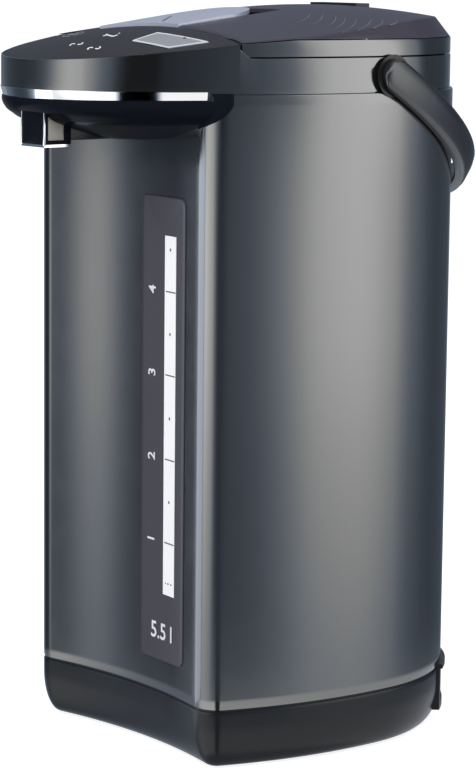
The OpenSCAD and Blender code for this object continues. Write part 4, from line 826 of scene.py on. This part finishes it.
def make_lever_slit():
    """The dark slot beside the lever's hinge line."""
    height = surface_of(NODES["lid_lever"])
    path = [(-8.9 - 19.5 * k / 8, -74.6 + 21.4 * k / 8) for k in range(9)]
    stroke("lever_slot", path, 1.0, height, "slit_dark", "lever")


BUTTON_W1 = 40.0
BUTTON_W2 = 28.8
BUTTON_D = 19.0
BUTTON_AT = (44.4, -113.0)


def button_ring(grow, rise):
    """The button's outline on the sloping panel, grown and raised."""
    lean = (BUTTON_W1 - BUTTON_W2) / 2 / BUTTON_D
    side = math.sqrt(1 + lean * lean)
    h1 = BUTTON_W1 / 2 + grow * (side + lean)
    h2 = BUTTON_W2 / 2 + grow * (side - lean)
    d = BUTTON_D / 2 + grow
    tilt = math.atan(SLOPE)
    made = []
    for x, v in [(-h1, d), (h1, d), (h2, -d), (-h2, -d)]:
        along = v + (BUTTON_AT[1] - DATUM_Y) / math.cos(tilt)
        made.append((BUTTON_AT[0] + x, DATUM_Y + along * math.cos(tilt) - rise * math.sin(tilt),
            PANEL_Z + along * math.sin(tilt) + rise * math.cos(tilt)))
    return made


# ---- Lid ----

LEVER_X = -20.0
LEVER_W = 66.0
LEVER_BACK = -17.0
STEAM_Y = 47.0


def hinge_notch():
    return cutter(*box_points((-29.0, 84.0, 360.0), (29.0, 110.0, 440.0)))


def lever_well():
    half = LEVER_W / 2 + 0.5
    return cutter(*box_points((LEVER_X - half, -103.0, 388.5), (LEVER_X + half, LEVER_BACK + 9, 440.0)))


def make_rim():
    def foot(x, y):
        return seam_z(x, y) + 0.6

    def up(z, k):
        return lambda x, y: max(z(x, y) + k, foot(x, y) + 0.2)

    rings = [lift(lid_outline(0.35), foot), lift(lid_outline(0.0), lambda x, y: foot(x, y) + 0.35),
        lift(lid_outline(0.0), up(rim_z, -0.7)), lift(lid_outline(0.25), up(rim_z, -0.2)),
        lift(lid_outline(0.8), rim_z), lift(lid_outline(3.0), rim_z), lift(lid_outline(3.0), foot)]
    rim = piece("rim", *loft(rings, closed=True), "head_grey", "lid", ["lid_rim"])
    carve(rim, [hinge_notch(), lever_well()])


def backness(y):
    return max(0.0, (y + 50) / 150)


def make_dome():
    edge = [(x * (1 - 0.087 * backness(y)), y * (1 - 0.087 * backness(y))) for x, y in lid_outline(1.8)]
    peak = (0.0, 28.4)

    def wall(drop, seat):
        def z(x, y):
            t = min(1.0, 3 * backness(y))
            low = rim_z(x, y) + seat
            return (1 - t) * max(low, dome_z(x, y) - drop) + t * low
        return z

    lid_t = 2.2
    shares = [0.04, 0.14, 0.26, 0.38, 0.5, 0.62, 0.74, 0.85, 0.93]
    under = [lift(shrink(edge, peak, k), lambda x, y: dome_z(x, y) - lid_t) for k in shares]
    rings = under + [lift(lid_outline(3.4), wall(lid_t, 0.3)), lift(lid_outline(3.0), lambda x, y: rim_z(x, y) + 0.3),
        lift(lid_outline(0.5), lambda x, y: rim_z(x, y) + 0.3), lift(lid_outline(0.9), wall(0.9, 0.6))]
    rings += [[(x, y, dome_z(x, y) - 0.5) for x, y in edge]]
    for k, drop in ((0.995, 0.15), (0.985, 0.0)):
        rings.append(lift(shrink(edge, peak, k), lambda x, y, d=drop: dome_z(x, y) - d))
    rings += [lift(shrink(edge, peak, k), dome_z) for k in [0.96] + shares[::-1]]
    dome = piece("dome", *loft(rings), "lid_dark", "lid", ["lid_top"], sharp=40.0)
    slot = cutter(*box_points((-20.1, STEAM_Y - 5.1, 380.0), (20.1, STEAM_Y + 5.1, 440.0)))
    carve(dome, [hinge_notch(), lever_well(), slot], sharp=40.0)


# Each rib's two ends on the right half of the lid
RIBS = [((60, -36), (38, -8)), ((70, -34), (47, -7)), ((79, -32), (56, -5)), ((87, -34), (63, -4)),
    ((94, -33), (70, -2)), ((95, -23), (75, 4)), ((95, -12), (81, 7)), ((94, 1), (85, 13))]


def make_ribs():
    """Fine raised lines across the lid's two sides."""
    for side in (1, -1):
        for number, ((x0, y0), (x1, y1)) in enumerate(RIBS):
            rings = []
            for k in range(13):
                t = k / 12
                bow = 2.2 * math.sin(math.pi * t)
                x = x0 + (x1 - x0) * t + 0.75 * bow
                y = y0 + (y1 - y0) * t + 0.66 * bow
                half = 0.38 * (0.25 + 0.75 * math.sin(math.pi * t))
                ring = []
                for u, v in ((-1, -0.5), (-0.7, 0.1), (0, 0.24), (0.7, 0.1), (1, -0.5)):
                    px, py = x + 0.75 * half * u, y + 0.66 * half * u
                    ring.append((side * px, py, dome_z(px, py) + v))
                rings.append(ring)
            piece("rib_%s_%d" % (side_name(side), number), *loft(rings), "rib_light", "lid")


# ---- Handle ----

BAIL_A = 104.0
BAIL_L = 131.0
BAIL_T = 5.0
BAIL_B = 18.4
BAIL_TILT = math.radians(31.0)
PIVOT_Y = -1.5
PIVOT_Z = 374.7


def strap_ring(a, narrow=1.0, back=0.0):
    """The handle's section where it has turned by a from its right pivot."""
    t = BAIL_T / 2
    g = 3.0 * math.sin(a) ** 2
    out = Vector((BAIL_L * math.cos(a), BAIL_A * math.sin(a))).normalized()
    along = Vector((-out.y, out.x))
    at = Vector((BAIL_A * math.cos(a), BAIL_L * math.sin(a))) + along * back
    half = BAIL_B / 2
    section = [(-t, -half + 0.8), (-t + 0.8, -half), (t + g - 2.4, -half), (t + g - 1.6, -half + 0.6),
        (t + g - 0.5, -half + 3.5), (t + g, half * 0.24), (t + g, half * 0.33), (t + g - 0.55, half - 2.2),
        (t + g - 1.6, half - 0.5), (t + g - 2.4, half), (-t + 0.8, half), (-t, half - 0.8)]
    ring = []
    for q, w in section:
        p = at + out * q
        w *= narrow
        ring.append((p.x, p.y * math.cos(BAIL_TILT) + w * math.sin(BAIL_TILT) + PIVOT_Y,
            PIVOT_Z - p.y * math.sin(BAIL_TILT) + w * math.cos(BAIL_TILT)))
    return ring


def make_handle():
    turns = [math.pi * k / 60 for k in range(61)]
    end = BAIL_B / 2
    caps = [math.radians(a) for a in (84, 70, 55, 40, 25, 10)]
    rings = [strap_ring(0.0, math.cos(a), -end * math.sin(a)) for a in caps]
    rings += [strap_ring(a) for a in turns]
    rings += [strap_ring(math.pi, math.cos(a), end * math.sin(a)) for a in caps[::-1]]
    piece("carry_handle", *loft(rings), "handle_black", "handle", ["handle"], sharp=38.0)


# ---- Level gauge ----

GAUGE_X = (8.7, 52.7)
GAUGE_Z = (52.5, 309.5)
GAUGE_T = 0.8


def rounded_frame(inset, corner):
    """A rounded rectangle on the front face, as (x, z) points."""
    (x0, x1), (z0, z1) = GAUGE_X, GAUGE_Z
    r = max(0.05, corner - inset)
    made = []
    for cx, cz, start in ((x1 - inset - r, z1 - inset - r, 0), (x0 + inset + r, z1 - inset - r, 90),
            (x0 + inset + r, z0 + inset + r, 180), (x1 - inset - r, z0 + inset + r, 270)):
        for k in range(9):
            t = math.radians(start + 90 * k / 8)
            made.append((cx + r * math.cos(t), cz + r * math.sin(t)))
    return made


def on_front(x, z, proud):
    return (x, scoop_y(x) - proud, z)


def make_gauge():
    steps = [(0.0, -0.2), (0.0, 0.3), (0.25, 0.62), (0.9, GAUGE_T), (3.0, GAUGE_T), (7.0, GAUGE_T),
        (12.0, GAUGE_T), (17.0, GAUGE_T), (21.6, GAUGE_T)]
    rings = [[on_front(x, z, proud) for x, z in rounded_frame(inset, 5.0)] for inset, proud in steps]
    piece("gauge_face", *loft(rings), "gauge_dark", "pot", ["gauge_plate"], sharp=40.0)


WINDOW_X = (31.85, 43.35)
WINDOW_Z = (90.4, 288.3)
WINDOW_PROUD = 0.15


def make_window():
    """The white strip of the gauge, whose finish carries a faint painted glow."""
    (x0, x1), (z0, z1) = WINDOW_X, WINDOW_Z
    columns = [x0 + (x1 - x0) * k / 6 for k in range(7)]
    front = [on_front(x, z, GAUGE_T + WINDOW_PROUD) for z in (z0, z1) for x in columns]
    back = [on_front(x, z, -0.3) for z in (z0, z1) for x in columns]
    n = len(columns)
    faces = [(k, k + 1, n + k + 1, n + k) for k in range(n - 1)]
    faces += [(2 * n + k, 3 * n + k, 3 * n + k + 1, 2 * n + k + 1) for k in range(n - 1)]
    faces += [(k, 2 * n + k, 2 * n + k + 1, k + 1) for k in range(n - 1)]
    faces += [(n + k, n + k + 1, 3 * n + k + 1, 3 * n + k) for k in range(n - 1)]
    faces += [(0, n, 3 * n, 2 * n), (n - 1, 3 * n - 1, 4 * n - 1, 2 * n - 1)]
    piece("level_window", front + back, faces, "gauge_white", "pot", ["gauge_window"])


def print_plate(name, x0, x1, z0, z1):
    """A thin dark mark on the window."""
    proud = GAUGE_T + WINDOW_PROUD
    points = [on_front(x, z, p) for p in (proud, proud + 0.05) for z in (z0, z1) for x in (x0, x1)]
    piece(name, points, BOX_FACES, "print_dark", "pot")


LITRE_Z = [119.6, 166.0, 212.5, 258.1]
HALF_Z = [142.6, 188.8, 235.1, 281.0]


def make_marks():
    for number, z in enumerate(LITRE_Z):
        print_plate("litre_line_%d" % number, 33.0, 43.0, z - 0.35, z + 0.35)
    for number, z in enumerate(HALF_Z):
        print_plate("half_mark_%d" % number, 36.8, 38.2, z - 0.8, z + 0.8)
    for number, (x, w) in enumerate(((34.2, 1.0), (36.4, 1.6), (39.4, 1.6))):
        print_plate("low_mark_%d" % number, x, x + w, 96.6, 97.4)


def make_word(name, words, height, place):
    """White letters as a mesh: place turns a point on the flat page, in millimetres, to its spot."""
    curve = bpy.data.curves.new(name, "FONT")
    curve.body = words
    curve.size = height
    curve.align_x = "CENTER"
    curve.align_y = "CENTER"
    curve.extrude = 0.05
    curve.offset = 0.012 * height
    curve.resolution_u = 3
    source = bpy.data.objects.new(name, curve)
    bpy.context.scene.collection.objects.link(source)
    bpy.context.view_layer.update()
    mesh = bpy.data.meshes.new_from_object(source.evaluated_get(bpy.context.evaluated_depsgraph_get()))
    points = [place(*v.co) for v in mesh.vertices]
    faces = [tuple(p.vertices) for p in mesh.polygons]
    bpy.data.objects.remove(source)
    bpy.data.curves.remove(curve)
    bpy.data.meshes.remove(mesh)
    piece(name, points, faces, "print_white", "pot")


PRINT_LIFT = GAUGE_T + 0.25


def make_numbers():
    for number, z in enumerate(LITRE_Z):
        def place(u, v, w, z=z):
            return on_front(20.0 - v, z + u, PRINT_LIFT + w)
        make_word("litre_%d" % (number + 1), str(number + 1), 9.5, place)

    def place_capacity(u, v, w):
        return on_front(31.0 + u, 68.5 + v, PRINT_LIFT + w)
    make_word("capacity", "5.5 l", 13.0, place_capacity)


# ---- Stage ----

def add_camera():
    """The camera's place and lens; the picture is 476 by 770."""
    azimuth = math.radians(50.725)
    pitch = math.radians(8.745)
    roll = math.radians(0.603)
    place = Vector((1225.65, -1027.77, 439.27)) * MM
    ahead = Vector((-math.sin(azimuth) * math.cos(pitch), math.cos(azimuth) * math.cos(pitch), -math.sin(pitch)))
    right = Vector((math.cos(azimuth), math.sin(azimuth), 0.0))
    up = right.cross(ahead)
    side = right * math.cos(roll) + up * math.sin(roll)
    top = up * math.cos(roll) - right * math.sin(roll)
    data = bpy.data.cameras.new("camera")
    data.sensor_width = 36.0
    data.lens = 131.29
    camera = bpy.data.objects.new("camera", data)
    camera.matrix_world = Matrix.Translation(place) @ Matrix((side, top, -ahead)).transposed().to_4x4()
    bpy.context.scene.collection.objects.link(camera)
    bpy.context.scene.camera = camera


def add_lamp(name, place, aim, size, watts):
    data = bpy.data.lights.new(name, "AREA")
    data.shape = "RECTANGLE"
    data.size, data.size_y = size
    data.energy = watts
    lamp = bpy.data.objects.new(name, data)
    lamp.location = place
    lamp.rotation_euler = (Vector(aim) - Vector(place)).to_track_quat("-Z", "Y").to_euler()
    lamp.visible_glossy = False
    bpy.context.scene.collection.objects.link(lamp)


def add_world():
    world = bpy.data.worlds.new("studio")
    world.use_nodes = True
    bpy.context.scene.world = world
    tree = world.node_tree
    tree.nodes.clear()
    path = tree.nodes.new("ShaderNodeLightPath")
    shown = tree.nodes.new("ShaderNodeMath")
    shown.operation = "MAXIMUM"
    tree.links.new(path.outputs["Is Camera Ray"], shown.inputs[0])
    tree.links.new(path.outputs["Is Transmission Ray"], shown.inputs[1])
    mix = tree.nodes.new("ShaderNodeMix")
    mix.data_type = "RGBA"
    mix.inputs[6].default_value = (0.42, 0.44, 0.48, 1.0)
    mix.inputs[7].default_value = (1.0, 1.0, 1.0, 1.0)
    tree.links.new(shown.outputs[0], mix.inputs[0])
    back = tree.nodes.new("ShaderNodeBackground")
    tree.links.new(mix.outputs[2], back.inputs[0])
    output = tree.nodes.new("ShaderNodeOutputWorld")
    tree.links.new(back.outputs[0], output.inputs[0])


def add_floor():
    mesh = bpy.data.meshes.new("floor")
    reach = 30.0
    corners = [(-reach, -reach, 0), (reach, -reach, 0), (reach, reach, 0), (-reach, reach, 0)]
    mesh.from_pydata(corners, [], [(0, 1, 2, 3)])
    floor = bpy.data.objects.new("floor", mesh)
    bpy.context.scene.collection.objects.link(floor)
    f = Finish("floor_white", (0.5, 0.5, 0.5), 0.9, Specular_IOR_Level=0.0)
    f.mottle(f.noise(3.0), 0.01)
    path = f.add("ShaderNodeLightPath", output="Is Camera Ray")
    f.set("Emission Color", (1.0, 1.0, 1.0, 1.0))
    f.set("Emission Strength", path * 0.86)
    mesh.materials.append(f.material)
    floor.visible_glossy = False


# Level of the tent's wall by azimuth, in its upper part, its lower part and on the ground round it, and its
# fade by height. The report's first section says where these numbers come from and why they should go.
TENT_HIGH = [(-180, 0.22), (-172, 0.16), (-160, 0.12), (-145, 0.09), (-129, 0.12), (-122, 0.20), (-115, 0.35),
    (-109, 0.73), (-102, 1.28), (-95, 1.62), (-81, 1.50), (-75, 1.12), (-68, 0.84), (-61, 0.51), (-54, 0.31),
    (-50, 0.15), (-46, 0.03), (-44, 0.0), (-32, 0.0), (-30, 0.05), (-15, 0.09), (-2, 0.18), (6, 0.31), (11, 0.46),
    (15, 0.98), (19, 1.53), (23, 1.82), (30, 1.95), (36, 2.06), (43, 1.9), (48, 1.2), (55, 0.8), (62, 0.6),
    (67, 0.25), (72, 0.12), (90, 0.10), (101, 0.10), (112, 0.16), (120, 0.24), (126, 0.26), (140, 0.26), (166, 0.24),
    (180, 0.22)]
TENT_LOW = [(-180, 0.2), (-160, 0.06), (-150, 0.05), (-143, 0.07), (-139, 0.18), (-136, 0.42), (-133, 0.9),
    (-130, 1.15), (-127, 1.0), (-124, 0.5), (-121.5, 0.15), (-118, 0.3), (-116, 1.0), (-114, 2.1), (-103, 2.1),
    (-95, 1.82), (-87, 1.57), (-79, 1.41), (-71, 0.91), (-63, 0.37), (-55, 0.13), (-47, 0.09), (-31, 0.12),
    (-15, 0.17), (-7, 0.19), (-2, 0.26), (2, 0.36), (7, 0.60), (12, 0.97), (16, 1.35), (21, 1.6), (30, 1.75),
    (35, 1.7), (39, 1.46), (44, 1.1), (51, 0.75), (58, 0.49), (66, 0.35), (76, 0.20), (87, 0.13), (116, 0.11),
    (125, 0.25), (140, 0.3), (165, 0.3), (180, 0.3)]
TENT_GROUND = [(-180, 0.5), (-160, 0.35), (-145, 0.5), (-125, 1.2), (-115, 1.5), (-52, 1.5), (-48, 0.0), (-31, 0.0),
    (-28, 1.05), (60, 0.9), (180, 0.5)]
TENT_FADE = [(-1.0, 0.25), (-0.5, 0.25), (-0.36, 0.32), (-0.256, 0.5), (-0.086, 0.73), (0.035, 1.0), (0.24, 1.07)]


def between_stops(stops, at):
    """The value at a place along a list of (place, value) stops."""
    if at <= stops[0][0]:
        return stops[0][1]
    for (x0, y0), (x1, y1) in zip(stops, stops[1:]):
        if at <= x1:
            return y0 + (y1 - y0) * (at - x0) / (x1 - x0)
    return stops[-1][1]


def tent_level(azimuth, height):
    """Brightness of the tent's wall in one direction, at one height in metres."""
    dark = 0.12
    low = between_stops(TENT_LOW, azimuth)
    low = min(low, dark) + max(0.0, low - dark) * between_stops(TENT_FADE, height)
    ground = between_stops([(-0.42, 1.0), (-0.34, 0.0)], height)
    high = between_stops([(0.24, 0.0), (0.30, 1.0)], height)
    level = low + high * (between_stops(TENT_HIGH, azimuth) - low)
    return level + ground * (between_stops(TENT_GROUND, azimuth) - level)


def add_glow(name, points, faces, levels, bright=(1.0, 1.0, 0.985, 1.0)):
    """A light that shows in gloss alone; the dimmer it is, the bluer."""
    mesh = bpy.data.meshes.new(name)
    mesh.from_pydata(points, [], faces)
    glow = mesh.attributes.new("glow", "FLOAT", "POINT")
    glow.data.foreach_set("value", levels)
    made = bpy.data.objects.new(name, mesh)
    bpy.context.scene.collection.objects.link(made)
    f = Finish(name, (0.0, 0.0, 0.0), 1.0, Specular_IOR_Level=0.0)
    level = f.add("ShaderNodeAttribute", {"attribute_name": "glow"}, output="Fac")
    tone = f.add("ShaderNodeMix", {"data_type": "RGBA"}, {0: level, 6: (0.72, 0.96, 1.30, 1.0), 7: bright},
        output=2)
    f.set("Emission Color", tone)
    f.set("Emission Strength", level)
    mesh.materials.append(f.material)
    made.visible_camera = False
    made.visible_diffuse = False
    made.visible_shadow = False
    made.visible_transmission = False


def add_tent():
    """The round tent, and a narrow card near the front edge of the body."""
    radius, low, high, around, rows = 1.5, -1.8, 1.5, 360, 66
    points, levels, faces = [], [], []
    for row in range(rows + 1):
        z = low + (high - low) * row / rows
        for k in range(around):
            azimuth = 360.0 * k / around - 180.0
            points.append((radius * math.cos(math.radians(azimuth)), radius * math.sin(math.radians(azimuth)), z))
            levels.append(tent_level(azimuth, z))
    for row in range(rows):
        for k in range(around):
            a, b = row * around + k, row * around + (k + 1) % around
            faces.append((a, b, b + around, a + around))
    add_glow("light_tent", points, faces, levels)
    plan = [(-9.0, -131.0), (-71.6, -166.0), (-62.0, -320.0)]
    card = [(x * MM, y * MM, z * MM) for z in (-20.0, 322.0) for x, y in plan]
    add_glow("edge_card", card, [(0, 1, 4, 3), (1, 2, 5, 4)], [1.4] * 3 + [2.0] * 3, (0.90, 0.98, 1.14, 1.0))


def set_stage():
    add_camera()
    add_world()
    add_floor()
    add_tent()
    middle = (0.0, 0.0, 0.2)
    add_lamp("key_lamp", (1.4, -1.2, 2.0), middle, (1.6, 1.6), 36.0)
    add_lamp("left_lamp", (-1.8, -1.6, 1.2), middle, (1.4, 1.8), 20.0)
    add_lamp("back_lamp", (0.6, 2.2, 1.6), middle, (1.6, 1.2), 14.0)
    bpy.context.scene.view_settings.view_transform = "Standard"


# ---- The order of work ----

dress_nodes()
soften_nodes()
set_stage()
make_jacket()
make_base()
make_collar()
make_band()
make_hull()
make_cheeks()
make_spout()
make_duct_and_shade()
make_panel()
make_button_dimple()
make_lever_slit()
make_rim()
make_dome()
make_ribs()
make_handle()
make_gauge()
make_window()
make_marks()
make_numbers()
